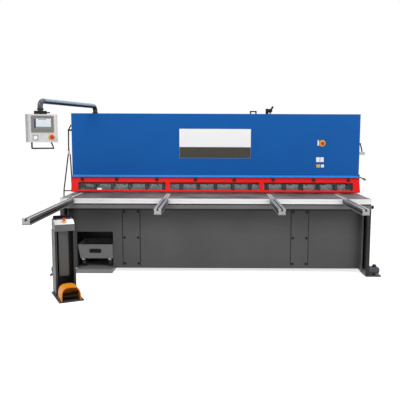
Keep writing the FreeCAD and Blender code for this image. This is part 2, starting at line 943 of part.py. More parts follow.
# Top beam between the side frames, the oil tank under it and the main cylinders.
top_beam_y = (deep(d.top_beam_front), deep(d.top_beam_back))
beam_shelf = d.top_beam_height + d.top_beam_thick
node("top_beam", block((left_in, right_in), top_beam_y, (d.top_beam_height, beam_shelf)))
tank_x = (-d.tank_wide / 2, d.tank_wide / 2)
tank_y = (deep(d.tank_front), deep(d.tank_front) + d.tank_deep)
node("oil_tank", block(tank_x, tank_y, (d.top_beam_height - d.tank_tall, d.top_beam_height)))

cylinder_x = right_in - d.cylinder_in
cylinder_y = deep(d.cylinder_back)
cylinder_foot = d.top_beam_height - d.cylinder_tall
cylinders = []
for side in (1, -1):
    shell = rod("z", d.cylinder_radius, d.cylinder_tall, side * cylinder_x, cylinder_y, cylinder_foot)
    bore = rod("z", d.cylinder_bore, d.bore_deep + 1, side * cylinder_x, cylinder_y, cylinder_foot - 1)
    cylinders.append(cut(shell, [bore]))
node("main_cylinders", group(cylinders))

# Swing beam: web plate with gussets, end arms with pivot bosses, top plate and torsion tube.
beam_half = right_in - d.beam_side_gap
beam_front = upper_blade_front + d.upper_blade_thick
upper_edge = d.table_height + d.blade_open
beam_bottom = upper_edge + d.rake_rise + d.blade_grip
arm_shape = [
    (beam_front, beam_bottom),
    (pivot_y - d.boss_radius / 2, d.pivot_height - d.boss_radius),
    (pivot_y + d.boss_radius, d.pivot_height - d.boss_radius, d.boss_round),
    (pivot_y + d.boss_radius, d.pivot_height + d.boss_radius, d.boss_round),
    (pivot_y - 150, d.beam_top - 60),
    (deep(1010), d.beam_top),
    (beam_front, d.beam_top),
]
beam_pieces = []
for start in (beam_half - d.beam_arm, -beam_half):
    beam_pieces.append(profile("YZ_Plane", [arm_shape], start, d.beam_arm, [pivot_ring]))
inner_half = beam_half - d.beam_arm
inner_x = (-inner_half - 1, inner_half + 1)
web_back = beam_front + d.beam_web
plate_back = deep(d.beam_plate_back)
plate_under = d.beam_top - d.beam_web
beam_pieces.append(block(inner_x, (beam_front, web_back), (beam_bottom, d.beam_top)))
beam_pieces.append(block(inner_x, (beam_front + 1, plate_back), (plate_under, d.beam_top)))
beam_pieces.append(rod("x", d.tube_radius, 2 * inner_half + 2, inner_x[0], pivot_y, d.pivot_height))
gusset = [
    (web_back - 1, d.gusset_bottom),
    (web_back + d.gusset_foot, d.gusset_bottom),
    (plate_back - d.gusset_foot, plate_under - d.gusset_foot),
    (plate_back - d.gusset_foot, plate_under + 1),
    (web_back - 1, plate_under + 1),
]
for x in rib_places:
    beam_pieces.append(profile("YZ_Plane", [gusset], x, d.rib_thick))
node("swing_beam", join(beam_pieces))

blade_top = upper_edge + d.blade_tall + d.rake_rise
upper_outline = [
    (-half_blade, upper_edge + d.rake_rise),
    (half_blade, upper_edge),
    (half_blade, blade_top),
    (-half_blade, blade_top),
]
node("upper_blade", profile("XZ_Plane", [upper_outline], beam_front, d.upper_blade_thick))

rods = []
for side in (1, -1):
    rods.append(rod("z", d.rod_radius, d.rod_show, side * cylinder_x, cylinder_y, d.beam_top))
node("cylinder_rods", group(rods))

# Back gauge: a stop bar on two guides, each with its screw below.
stop_y = (deep(d.gauge_back), deep(d.gauge_back) + d.gauge_thick)
guide_top = d.gauge_top + d.guide_tall
gauge_pieces = [block((-d.gauge_half, d.gauge_half), stop_y, (d.gauge_bottom, d.gauge_top))]
for side in (1, -1):
    guide_x = (side * d.guide_x - d.guide_wide / 2, side * d.guide_x + d.guide_wide / 2)
    guide_end = stop_y[1] + d.guide_past
    gauge_pieces.append(block(guide_x, (web_back, guide_end), (d.gauge_top - 1, guide_top)))
    gauge_pieces.append(block(guide_x, (guide_end - d.gauge_thick, guide_end), (d.screw_down, d.gauge_top)))
    screw_z = (d.screw_down + d.gauge_top) / 2
    screw_long = guide_end - stop_y[1] - d.gauge_thick + 2
    gauge_pieces.append(rod("y", d.screw_radius, screw_long, side * d.guide_x, stop_y[1] - 1, screw_z))
node("back_gauge", join(gauge_pieces))

pins = []
for side in (1, -1):
    pin_x = span(side, inner_half + d.pin_short, right_out + d.pin_past)
    pin_long = pin_x[1] - pin_x[0]
    pins.append(rod("x", d.pivot_radius - d.fit, pin_long, pin_x[0], pivot_y, d.pivot_height))
node("pivot_pins", group(pins))

# Rear: sheet slide, tie bar, cabinet and pump motor.
slide_front = blade_line + 2
slide_back = deep(d.slide_end)
slide_outline = [
    (slide_front, d.slide_high),
    (slide_back, d.slide_low),
    (slide_back, d.slide_low - d.slide_sheet),
    (slide_front, d.slide_high - d.slide_sheet),
]
node("sheet_slide", profile("YZ_Plane", [slide_outline], left_in, right_in - left_in))
tie_y = (deep(d.frame_depth - d.tie_in) - d.tie_deep, deep(d.frame_depth - d.tie_in))
node("rear_tie", block((left_in, right_in), tie_y, (d.tie_low, d.tie_low + d.tie_tall)))

box_top = frame_top - d.box_down
box_z = (box_top - d.box_tall, box_top)
box_back = deep(d.frame_depth - d.box_in)
box_x = (left_in, left_in + d.box_wide)
door_x = (box_x[0] + d.door_edge, box_x[1] - d.door_edge)
door_z = (box_z[0] + d.door_edge, box_z[1] - d.door_edge)
latch_x = (door_x[1] - 2 * d.latch, door_x[1] - d.latch)
cabinet = [
    block(box_x, (box_back - d.box_deep, box_back), box_z),
    block(door_x, (box_back - 1, box_back + d.door_thick), door_z),
]
for share in (0.25, 0.75):
    latch_z = door_z[0] + (door_z[1] - door_z[0]) * share
    latch_y = (box_back, box_back + d.door_thick + d.latch / 2)
    cabinet.append(block(latch_x, latch_y, (latch_z - d.latch, latch_z + d.latch)))
node("electrical_cabinet", join(cabinet))

motor_y = top_beam_y[1] + d.motor_back
motor_z = d.top_beam_height - d.motor_down
motor_end = d.motor_x + d.motor_long
foot_x = (d.motor_x + d.motor_foot, motor_end - d.motor_foot)
foot_y = (tank_y[1], motor_y)
foot_top = motor_z - d.motor_foot / 2
pump_half = d.pump / 2
motor = [
    rod("x", d.motor_radius, d.motor_long, d.motor_x, motor_y, motor_z),
    block(foot_x, foot_y, (foot_top - d.motor_foot, foot_top)),
    block((d.motor_x - d.pump, d.motor_x + 1), (motor_y - pump_half, motor_y + pump_half),
          (motor_z - pump_half, motor_z + pump_half)),
    block((foot_x[0], foot_x[0] + d.pump), (motor_y - pump_half, motor_y + pump_half),
          (motor_z, motor_z + d.motor_radius + d.motor_foot / 2)),
]
node("pump_motor", join(motor))

# Top items behind the cover: a lifting bracket and a valve with its knob and lever.
eye_top = d.bracket_top - d.bracket_bar
bracket_x = (d.bracket_x, d.bracket_x + d.bracket_wide)
bracket_outline = [
    (bracket_x[0], beam_shelf),
    (bracket_x[0], d.bracket_top),
    (bracket_x[1], d.bracket_top),
    (bracket_x[1], beam_shelf),
    (bracket_x[1] - d.bracket_bar, beam_shelf),
    (bracket_x[1] - d.bracket_bar, eye_top),
    (bracket_x[0] + d.bracket_bar, eye_top),
    (bracket_x[0] + d.bracket_bar, beam_shelf),
]
node("lifting_bracket", profile("XZ_Plane", [bracket_outline], deep(d.valve_back), d.bracket_deep))
valve_y = (deep(d.valve_back) - d.bracket_deep, deep(d.valve_back))
dial_z = d.valve_top - d.dial_radius
dial_x = d.valve_x + d.valve_wide / 2 + d.dial_radius - 3
valve = [
    block((d.valve_x - d.valve_wide / 2, d.valve_x + d.valve_wide / 2), valve_y, (beam_shelf, d.valve_top)),
    rod("y", d.dial_radius, d.bracket_deep, dial_x, valve_y[0] - 1, dial_z),
    block((dial_x - 6, dial_x + 6), valve_y, (beam_shelf, dial_z)),
    strut((dial_x.value, dial_z.value), (dial_x.value + 32, dial_z.value + 50), d.lever, valve_y[0] + d.lever),
]
node("pressure_gauge", join(valve))

# Bent rods and clips on the sides, and the knob at the rail's end.
left_rods = [
    (1706, 1660, 1737, 1601),
    (1737, 1601, 1741, 1378),
    (1741, 1384, 1748, 1300),
    (1741, 1384, 1724, 1300),
    (1748, 1307, 1809, 890),
    (1809, 896, 1812, 774),
    (1724, 1307, 1713, 1058),
    (1713, 1064, 1713, 882),
    (1713, 882, 1812, 882),
]
rod_y = upper_front + d.fit + d.side_rod / 2
rods = []
for x1, z1, x2, z2 in left_rods:
    rods.append(strut((-x1, z1), (-x2, z2), d.side_rod, rod_y))
clip_y = (upper_front, upper_front + d.clip_deep)
for z, reach in ((d.clip_high, d.clip_far), (d.clip_low, d.clip_near)):
    rods.append(block(span(-1, right_out, right_out + reach), clip_y, (z, z + d.clip_deep)))
fitting_z = (d.fitting_z, d.fitting_z + 3 * d.side_rod)
right_rods = [
    strut((1706, 1462), (1729, 1379), d.side_rod, rod_y),
    strut((1729, 1385), (1731, 1350), d.side_rod, rod_y),
    block((right_out, right_out + d.fitting_wide), clip_y, fitting_z),
    block((right_out, right_out + d.side_rod), clip_y, (d.clip_low, d.clip_low + 5 * d.clip_deep)),
    strut((1705, 1061), (1789, 1023), d.side_rod, rod_y),
]
node("side_pipes", group([join(rods), join(right_rods)]))
knob_z = (rail_top + rail_bottom) / 2
node("rail_knob", prism("x", 8, d.knob_tall, d.rail_knob, right_out, deep(d.rail_knob), knob_z))

# Boom: post, swivelling riser, cast elbows, tube and drop to the pendant.
post_x = left_in + d.post_in - d.plate
post_y = deep(d.post_back)
post_half_wide = d.post_wide / 2
post_sides = (post_x - post_half_wide, post_x + post_half_wide)
node("boom_post", block(post_sides, (post_y - post_half_wide, post_y + post_half_wide), (beam_shelf, d.cover_top)))
boom_rest = -90 - d.boom_angle
swivel_z = d.cover_top + d.fit
elbow_foot = swivel_z + d.riser
tube_z = elbow_foot + d.boom_bend
pendant_top = elbow_foot - d.drop - d.fit - d.coupling_tall


def elbow(x, away):
    """A cast corner block with a rounded back, seen from the side."""
    half = d.casting / 2
    corners = [
        (x - away * half, elbow_foot),
        (x - away * half, tube_z + half, d.casting_round),
        (x + away * d.boom_bend, tube_z + half),
        (x + away * d.boom_bend, tube_z - half),
        (x + away * half, tube_z - half),
        (x + away * half, elbow_foot),
    ]
    return profile("XZ_Plane", [corners], half, d.casting)


tube_long = d.boom_length - 2 * d.boom_bend + 2
boom = join([
    rod("z", d.boom_radius, d.riser + 1, 0, 0, swivel_z),
    elbow(0, 1),
    rod("x", d.boom_radius, tube_long, d.boom_bend - 1, 0, tube_z),
    elbow(d.boom_length, -1),
    rod("z", d.boom_radius, d.drop + 1, d.boom_length, 0, elbow_foot - d.drop),
])
node("boom_tube", put(boom, post_x, post_y, 0, ((0, 0, 1), boom_rest)))

pendant_x = post_x + d.boom_length * cosine(boom_rest)
pendant_y = post_y + d.boom_length * sine(boom_rest)
pendant_bottom = pendant_top - d.pendant_tall


def pendant_node(name, thing):
    return node(name, put(group([thing]), pendant_x, pendant_y, 0, ((0, 0, 1), d.pendant_yaw)))


def stop_button(axis, reach, x, y, z):
    """A mushroom head on a square stem; reach is how far the stem runs into the machine."""
    half = d.stem / 2
    if axis == "y":
        stem = block((x - half, x + half), (y - d.stop_gap, y - reach), (z - half, z + half))
        head = prism("y", 24, d.stop_radius, d.stop_thick, x, y - d.stop_gap - d.stop_thick + 1, z)
    else:
        stem = block((x - half, x + half), (y - half, y + half), (z + reach, z + d.stop_gap))
        head = prism("z", 24, d.stop_radius, d.stop_thick, x, y, z + d.stop_gap - 1)
    return join([stem, head])


def stop_base(radius, x, y, z):
    """A yellow disc on an upright face, with the square hole of the stem."""
    half = d.stem / 2 + d.fit
    disc = prism("y", 24, radius, d.stop_base, x, y - d.stop_base, z)
    hole = block((x - half, x + half), (y - d.stop_base - 1, y + 1), (z - half, z + half))
    return cut(disc, [hole])


pendant_sides = (d.pendant_shift - d.pendant_wide / 2, d.pendant_shift + d.pendant_wide / 2)
pendant_face = -d.pendant_deep / 2
coupling = join([
    rod("z", d.coupling_radius, d.coupling_tall, 0, 0, pendant_top),
    block((0, d.coupling_radius + d.clamp_lever), (-d.lever, d.lever),
          (pendant_top + d.lever, pendant_top + 2 * d.lever)),
])
pendant_node("pendant_coupling", coupling)
pendant_node("pendant_box", block(pendant_sides, (pendant_face, d.pendant_deep / 2), (pendant_bottom, pendant_top)))
bezel_x = (-d.bezel_left, -d.bezel_left + d.bezel_wide)
bezel_z = (pendant_top - d.bezel_down - d.bezel_tall, pendant_top - d.bezel_down)
screen_x = (bezel_x[0] + d.screen_edge, bezel_x[1] - d.screen_edge)
screen_z = (bezel_z[1] - d.screen_edge - d.screen_tall, bezel_z[1] - d.screen_edge)
bezel = block(bezel_x, (pendant_face - d.bezel_thick, pendant_face), bezel_z)
screen = block(screen_x, (pendant_face - d.bezel_thick - 1, pendant_face - d.bezel_thick / 2), screen_z)
pendant_node("pendant_bezel", cut(bezel, [screen]))
grip = d.grip_bar
grip_low = pendant_bottom - d.grip_drop
grip_left = -d.grip_left
grip_right = d.grip_right
handle_outline = [
    (grip_left, pendant_bottom),
    (grip_left, grip_low, grip),
    (grip_right + d.grip_slant, grip_low),
    (grip_right, pendant_bottom),
    (grip_right - grip, pendant_bottom),
    (grip_right + d.grip_slant - grip, grip_low + grip),
    (grip_left + grip, grip_low + grip),
    (grip_left + grip, pendant_bottom),
]
pendant_node("pendant_handle", profile("XZ_Plane", [handle_outline], pendant_face + 3 * grip, grip))
pendant_stop = (d.pendant_stop_x, pendant_face, pendant_bottom + d.pendant_stop_up)
pendant_node("pendant_stop_base", stop_base(d.stop_base_radius, *pendant_stop))
pendant_node("pendant_stop_button", stop_button("y", d.stop_short, *pendant_stop))

# Pedestal with the foot switch; it stands by itself on the floor.
pedestal_y = deep(-d.pedestal_front)


def pedestal_place(thing):
    return put(group([thing]), -d.pedestal_x, pedestal_y, 0, ((0, 0, 1), d.pedestal_yaw))


def pedestal_node(name, thing):
    return node(name, pedestal_place(thing))


base_half = d.base_wide / 2
base_y = (-d.base_long / 2, d.base_long / 2)
pedestal_node("pedestal_base", block((-base_half, base_half), base_y, (0, d.base_thick)))
column_half = d.column_wide / 2
wall = d.column_sheet
column_y = (base_y[1] - d.column_deep, base_y[1])
lip = column_half - d.column_lip
column_right = [
    (lip, column_y[0]),
    (column_half, column_y[0]),
    (column_half, column_y[1]),
]
column_hollow = [
    (column_half - wall, column_y[1] - wall),
    (column_half - wall, column_y[0] + wall),
    (lip, column_y[0] + wall),
]
column_outline = (
    column_right
    + [(-u, v) for u, v in reversed(column_right)]
    + [(-u, v) for u, v in reversed(column_hollow)]
    + column_hollow
)
column_tall = d.column_top - d.base_thick
pedestal_node("pedestal_column", profile("XY_Plane", [column_outline], d.base_thick, column_tall))
channel_half = d.channel_wide / 2
channel_y = (column_y[0] + d.channel_back, column_y[1] - wall)
channel_z = (d.channel_low, d.column_top)
pedestal_node("pedestal_channel", block((-channel_half, channel_half), channel_y, channel_z))
console_half = d.console_wide / 2
console_front = column_y[0] - d.console_past
slope_back = console_front + d.slope_deep
shelf_z = d.column_top + d.console_tall
console_outline = [
    (console_front, d.column_top),
    (console_front, shelf_z - d.slope_rise),
    (slope_back, shelf_z),
    (column_y[1], shelf_z),
    (column_y[1], d.column_top),
]
console_solid = profile("YZ_Plane", [console_outline], -console_half, d.console_wide)
tray_half = console_half - d.tray_edge
tray_y = (slope_back + d.tray_edge / 2, column_y[1] - d.tray_edge / 2)
tray = block((-tray_half, tray_half), tray_y, (shelf_z - d.tray_deep, shelf_z + 1))
console = cut(console_solid, [tray])
pedestal_node("pedestal_console", console)
stop_seat_y = console_front + d.slope_deep / 2
slope_middle = shelf_z - d.slope_rise / 2
disc_top = slope_middle + d.slope_rise / 2 - 6
stem_half = d.stem / 2 + d.fit
pedestal_disc = prism("z", 24, d.stop_base_radius, disc_top - slope_middle + d.slope_rise, 0, stop_seat_y,
                      slope_middle - d.slope_rise)
stem_hole = block((-stem_half, stem_half), (stop_seat_y - stem_half, stop_seat_y + stem_half),
                  (d.column_top, shelf_z + 1))
pedestal_stop_base = pedestal_place(cut(pedestal_disc, [console, stem_hole]))
pedestal_stop = stop_button("z", d.stop_short, 0, stop_seat_y, disc_top - d.stop_base)
pedestal_node("pedestal_stop_button", pedestal_stop)
rim_half = tray_half + d.rim_bar / 2
rim_top = shelf_z + d.rim_tall
rim_outline = [
    (-rim_half, shelf_z),
    (-rim_half, rim_top, d.rim_bar),
    (rim_half, rim_top, d.rim_bar),
    (rim_half, shelf_z),
    (rim_half - d.rim_bar, shelf_z),
    (rim_half - d.rim_bar, rim_top - d.rim_bar),
    (-rim_half + d.rim_bar, rim_top - d.rim_bar),
    (-rim_half + d.rim_bar, shelf_z),
]
pedestal_node("pedestal_handle", profile("XZ_Plane", [rim_outline], column_y[1], d.tray_edge / 2 - 1))

# Foot switch: a hood with an arched mouth and the pedal inside it.
hood_half = d.hood_wide / 2
hood_y = (base_y[0] + d.hood_in, base_y[0] + d.hood_in + d.hood_deep)
hood_top = d.base_thick + d.hood_tall
hood_in_half = hood_half - d.hood_wall
hood_outer = [
    (-hood_half, d.base_thick),
    (hood_half, d.base_thick),
    (hood_half, hood_top, d.hood_round),
    (-hood_half, hood_top, d.hood_round),
]
hood_round_in = d.hood_round - d.hood_wall
hood_inner = [
    (-hood_in_half, d.base_thick + d.hood_wall),
    (hood_in_half, d.base_thick + d.hood_wall),
    (hood_in_half, hood_top - d.hood_wall, hood_round_in),
    (-hood_in_half, hood_top - d.hood_wall, hood_round_in),
]
hood_shell = profile("XZ_Plane", [hood_outer, hood_inner], hood_y[1], hood_y[1] - hood_y[0])
hood_back = block((-hood_in_half - 1, hood_in_half + 1), (hood_y[1] - d.hood_wall, hood_y[1]),
                  (d.base_thick + 1, hood_top - d.hood_round / 2))
pedestal_node("switch_hood", join([hood_shell, hood_back]))
pedal_z = d.base_thick + d.pedal_up
pedal_half = hood_in_half - d.pedal_air
hinge_y = hood_y[1] - d.pedal_hinge
pedal = join([
    block((-pedal_half, pedal_half), (hood_y[0] + d.pedal_in, hinge_y), (pedal_z, pedal_z + d.pedal_thick)),
    rod("x", d.pedal_thick, 2 * hood_in_half - 2 * d.fit, -hood_in_half + d.fit, hinge_y, pedal_z),
])
pedestal_node("foot_pedal", pedal)

# Emergency stop on the blue cover.
cover_stop = (d.cover_stop_x, cover_face, d.cover_stop_z)
node("stop_bases", group([stop_base(d.cover_stop_radius, *cover_stop), pedestal_stop_base]))
node("cover_stop_button", stop_button("y", d.stop_short, *cover_stop))

# Tool cart on its track: a tray with one slanted side, on two pairs of wheels.
cart_x = (opening[0] + d.cart_air, opening[1] - d.cart_air)
cart_y = (panel_face + d.cart_back, panel_face + d.cart_back + d.cart_deep)
axle_z = d.track_top + d.wheel_radius + d.fit
cart_bottom = axle_z + d.wheel_radius + d.crown_air + d.crown
cart_wall = d.cart_wall
cart_outer = [
    (cart_x[0] + d.cart_slant, cart_bottom),
    (cart_x[0], d.cart_top),
    (cart_x[1], d.cart_top),
    (cart_x[1], cart_bottom),
]
cart_inner = [
    (cart_x[0] + d.cart_slant + cart_wall, cart_bottom + cart_wall),
    (cart_x[0] + cart_wall, d.cart_top + 1),
    (cart_x[1] - cart_wall, d.cart_top + 1),
    (cart_x[1] - cart_wall, cart_bottom + cart_wall),
]
cart_shell = profile("XZ_Plane", [cart_outer], cart_y[1], d.cart_deep)
cart_space = profile("XZ_Plane", [cart_inner], cart_y[1] - cart_wall, d.cart_deep - 2 * cart_wall)
cart_middle = (cart_x[0] + cart_x[1]) / 2
slot_x = (cart_middle - d.cart_slot / 2, cart_middle + d.cart_slot / 2)
slot_z = (d.cart_slot_low, d.cart_slot_low + d.cart_slot_tall)
cart_slot = profile("XZ_Plane", [rectangle(slot_x, slot_z, d.cart_slot_tall / 3)], cart_y[0] + cart_wall + 1,
                    cart_wall + 2)
cart_pieces = [cut(cart_shell, [cart_space, cart_slot])]
wheel_half = d.wheel_wide / 2
yoke_half = wheel_half + d.yoke_gap + d.yoke
wheel_places = (cart_x[0] + d.wheel_in, cart_x[1] - d.wheel_in)
for name, y in (("front_wheels", cart_y[0] + d.wheel_end), ("rear_wheels", cart_y[1] - d.wheel_end)):
    wheels = []
    for x in wheel_places:
        crown_z = (cart_bottom - d.crown, cart_bottom)
        cart_pieces.append(block((x - yoke_half, x + yoke_half), (y - d.crown, y + d.crown), crown_z))
        for cheek in (x - yoke_half, x + yoke_half - d.yoke):
            cheek_z = (axle_z - 2 * d.axle_radius, crown_z[0] + 1)
            cart_pieces.append(block((cheek, cheek + d.yoke), (y - d.crown, y + d.crown), cheek_z))
        cart_pieces.append(rod("x", d.axle_radius, 2 * yoke_half, x - yoke_half, y, axle_z))
        wheel = rod("x", d.wheel_radius, d.wheel_wide, x - wheel_half, y, axle_z)
        bore_radius = d.axle_radius + d.running_fit
        hole = rod("x", bore_radius, d.wheel_wide + 2, x - wheel_half - 1, y, axle_z)
        wheels.append(cut(wheel, [hole]))
    node(name, group(wheels))
node("cart_tray", join(cart_pieces))

doc.recompute()

os.makedirs("parts", exist_ok=True)
for thing in doc.Objects:
    for state in ("Invalid", "Error"):
        if state in thing.State:
            raise RuntimeError(f"{thing.Name} ({thing.Label}) failed: {thing.State}")
for thing in nodes:
    if thing.Shape.isNull() or not thing.Shape.isValid():
        raise RuntimeError(f"{thing.Label} has no valid shape")
for thing in nodes:
    thing.Shape.exportStep(os.path.join("parts", f"{thing.Label}.step"))
print(len(nodes), "nodes written")
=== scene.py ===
import math

import bmesh
import bpy
from mathutils import Euler, Matrix, Vector


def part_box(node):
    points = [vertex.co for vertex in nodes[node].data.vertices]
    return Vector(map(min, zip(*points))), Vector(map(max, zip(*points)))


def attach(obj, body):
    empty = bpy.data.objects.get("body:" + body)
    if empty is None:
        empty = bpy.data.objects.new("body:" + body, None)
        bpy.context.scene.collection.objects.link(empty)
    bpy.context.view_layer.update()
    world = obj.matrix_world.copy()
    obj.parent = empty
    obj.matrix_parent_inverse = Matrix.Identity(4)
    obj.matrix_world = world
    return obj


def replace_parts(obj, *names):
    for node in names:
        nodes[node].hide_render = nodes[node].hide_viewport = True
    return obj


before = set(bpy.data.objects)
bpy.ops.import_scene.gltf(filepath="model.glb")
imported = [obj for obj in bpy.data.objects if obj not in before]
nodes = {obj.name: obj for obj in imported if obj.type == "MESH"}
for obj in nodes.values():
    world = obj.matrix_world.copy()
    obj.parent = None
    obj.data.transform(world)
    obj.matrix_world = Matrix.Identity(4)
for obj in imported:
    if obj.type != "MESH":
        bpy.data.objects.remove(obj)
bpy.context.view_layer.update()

UP = (0, 0, 1)
DOWN = (0, 0, -1)
FRONT = (0, -1, 0)
BACK = (0, 1, 0)
RIGHT = (1, 0, 0)


def middle_of(name):
    low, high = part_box(name)
    return [(a + b) / 2 for a, b in zip(low, high)]


# Materials

def new_material(name):
    material = bpy.data.materials.new(name)
    material.use_nodes = True
    tree = material.node_tree
    shader = tree.nodes["Principled BSDF"]
    return material, tree, shader


def noise(tree, scale, detail=4.0, stretch=(1, 1, 1)):
    """Noise in object space, stretched by a factor on each axis."""
    place = tree.nodes.new("ShaderNodeTexCoord")
    mapping = tree.nodes.new("ShaderNodeMapping")
    mapping.inputs["Scale"].default_value = stretch
    texture = tree.nodes.new("ShaderNodeTexNoise")
    texture.inputs["Scale"].default_value = scale
    texture.inputs["Detail"].default_value = detail
    tree.links.new(place.outputs["Object"], mapping.inputs["Vector"])
    tree.links.new(mapping.outputs["Vector"], texture.inputs["Vector"])
    return texture.outputs["Fac"]


def ramp(tree, value, low, high, start=0.3, end=0.7):
    """Turns a 0 to 1 value into a colour between low and high."""
    node = tree.nodes.new("ShaderNodeValToRGB")
    node.color_ramp.elements[0].position = start
    node.color_ramp.elements[1].position = end
    node.color_ramp.elements[0].color = (*low, 1)
    node.color_ramp.elements[1].color = (*high, 1)
    tree.links.new(value, node.inputs["Fac"])
    return node.outputs["Color"]


def scaled(tree, value, low, high):
    node = tree.nodes.new("ShaderNodeMapRange")
    node.inputs["From Min"].default_value = 0.3
    node.inputs["From Max"].default_value = 0.7
    node.inputs["To Min"].default_value = low
    node.inputs["To Max"].default_value = high
    tree.links.new(value, node.inputs["Value"])
    return node.outputs["Result"]


def blend_colour(tree, mask, first, second):
    node = tree.nodes.new("ShaderNodeMix")
    node.data_type = "RGBA"
    for source, name, kind in ((mask, "Factor", "VALUE"), (first, "A", "RGBA"), (second, "B", "RGBA")):
        target = next(s for s in node.inputs if s.name == name and s.type == kind)
        tree.links.new(source, target)
    return next(s for s in node.outputs if s.type == "RGBA")


def bump(tree, shader, value, distance, strength=0.4):
    node = tree.nodes.new("ShaderNodeBump")
    node.inputs["Distance"].default_value = distance
    node.inputs["Strength"].default_value = strength
    tree.links.new(value, node.inputs["Height"])
    tree.links.new(node.outputs["Normal"], shader.inputs["Normal"])


def plain_colour(tree, colour):
    node = tree.nodes.new("ShaderNodeRGB")
    node.outputs[0].default_value = (*colour, 1)
    return node.outputs[0]


def worn_edges(tree, colour, worn, radius, amount):
    """Lightens the colour along sharp edges, broken up by noise."""
    bevel = tree.nodes.new("ShaderNodeBevel")
    bevel.samples = 4
    bevel.inputs["Radius"].default_value = radius
    shape = tree.nodes.new("ShaderNodeNewGeometry")
    angle = tree.nodes.new("ShaderNodeVectorMath")
    angle.operation = "DOT_PRODUCT"
    tree.links.new(bevel.outputs["Normal"], angle.inputs[0])
    tree.links.new(shape.outputs["True Normal"], angle.inputs[1])
    edge = tree.nodes.new("ShaderNodeMapRange")
    edge.inputs["From Min"].default_value = 0.98
    edge.inputs["From Max"].default_value = 0.80
    edge.inputs["To Max"].default_value = amount
    tree.links.new(angle.outputs["Value"], edge.inputs["Value"])
    patchy = tree.nodes.new("ShaderNodeMath")
    patchy.operation = "MULTIPLY"
    tree.links.new(edge.outputs["Result"], patchy.inputs[0])
    tree.links.new(scaled(tree, noise(tree, 35.0), 0.2, 1.0), patchy.inputs[1])
    return blend_colour(tree, patchy.outputs["Value"], colour, plain_colour(tree, worn))


def shade(colour, factor):
    return tuple(min(1.0, channel * factor) for channel in colour)


def stepped(tree, value, low, high):
    """0 below low, 1 above high."""
    node = tree.nodes.new("ShaderNodeMapRange")
    node.inputs["From Min"].default_value = low
    node.inputs["From Max"].default_value = high
    tree.links.new(value, node.inputs["Value"])
    return node.outputs["Result"]


def along(direction, low, high, source="Object"):
    """A mask that rises along a direction, from places or, with Normal, from where faces look."""
    def mask(tree):
        place = tree.nodes.new("ShaderNodeTexCoord")
        dot = tree.nodes.new("ShaderNodeVectorMath")
        dot.operation = "DOT_PRODUCT"
        dot.inputs[1].default_value = direction
        tree.links.new(place.outputs[source], dot.inputs[0])
        return stepped(tree, dot.outputs["Value"], low, high)
    return mask


def both(first, second):
    def mask(tree):
        node = tree.nodes.new("ShaderNodeMath")
        node.operation = "MULTIPLY"
        tree.links.new(first(tree), node.inputs[0])
        tree.links.new(second(tree), node.inputs[1])
        return node.outputs["Value"]
    return mask


UPWARD = along(UP, 0.25, 0.5, "Normal")
DOWNWARD = along(DOWN, -0.1, 0.25, "Normal")
SLOPED = both(UPWARD, along(DOWN, -0.97, -0.93, "Normal"))
FRONTWARD = along(FRONT, 0.7, 0.9, "Normal")


def past(direction, place, soft=0.002):
    """A mask for what lies beyond a place along a direction."""
    return along(direction, place - soft, place)


def band(direction, low, high, soft=0.002):
    """A mask between two places along a direction."""
    back = [-part for part in direction]
    return both(past(direction, low, soft), past(back, -high, soft))


def clouded(tree, colour, vary, coats):
    """Faint clouds of one colour, with other colours where a mask asks for them."""
    clouds = noise(tree, 3.0, 3.0)
    result = ramp(tree, clouds, shade(colour, 1 - vary), shade(colour, 1 + vary))
    for mask, other in coats:
        coat = ramp(tree, clouds, shade(other, 1 - vary), shade(other, 1 + vary))
        result = blend_colour(tree, mask(tree), result, coat)
    return result


def painted(name, colour, roughness=0.42, texture=0.0003, vary=0.06, wear=0.35, gloss=0.5, coats=()):
    """Paint with a fine orange-peel texture, faint clouds and rubbed edges."""
    material, tree, shader = new_material(name)
    clouds = clouded(tree, colour, vary, coats)
    shader.inputs["Specular IOR Level"].default_value = gloss
    worn = tuple(0.6 * channel + 0.12 for channel in colour)
    tree.links.new(worn_edges(tree, clouds, worn, 0.002, wear), shader.inputs["Base Color"])
    patches = scaled(tree, noise(tree, 14.0), roughness - 0.06, roughness + 0.06)
    tree.links.new(patches, shader.inputs["Roughness"])
    bump(tree, shader, noise(tree, 420.0, 2.0), texture, 0.25)
    return material


def metal(name, colour, roughness=0.3, stretch=(1, 1, 1), scale=90.0, vary=0.12, shine=1.0, coats=()):
    """Bare metal with the fine lines of its machining and dull patches."""
    material, tree, shader = new_material(name)
    lines = noise(tree, scale, 5.0, stretch)
    base = clouded(tree, colour, vary, coats)
    dull = scaled(tree, noise(tree, 2.5, 3.0), 0.0, 0.3)
    mixed = blend_colour(tree, dull, base, plain_colour(tree, shade(colour, 0.7)))
    tree.links.new(mixed, shader.inputs["Base Color"])
    shader.inputs["Metallic"].default_value = shine
    tree.links.new(scaled(tree, lines, roughness - 0.07, roughness + 0.1), shader.inputs["Roughness"])
    bump(tree, shader, lines, 0.0002, 0.2)
    return material


def plastic(name, colour, roughness=0.35, vary=0.08, grain=600.0, gloss=0.5):
    """Moulded plastic with a fine grain."""
    material, tree, shader = new_material(name)
    shader.inputs["Specular IOR Level"].default_value = gloss
    tree.links.new(ramp(tree, noise(tree, 30.0), shade(colour, 1 - vary), shade(colour, 1 + vary)),
                   shader.inputs["Base Color"])
    patches = scaled(tree, noise(tree, 60.0), roughness - 0.05, roughness + 0.05)
    tree.links.new(patches, shader.inputs["Roughness"])
    bump(tree, shader, noise(tree, grain, 2.0), 0.0001, 0.2)
    return material


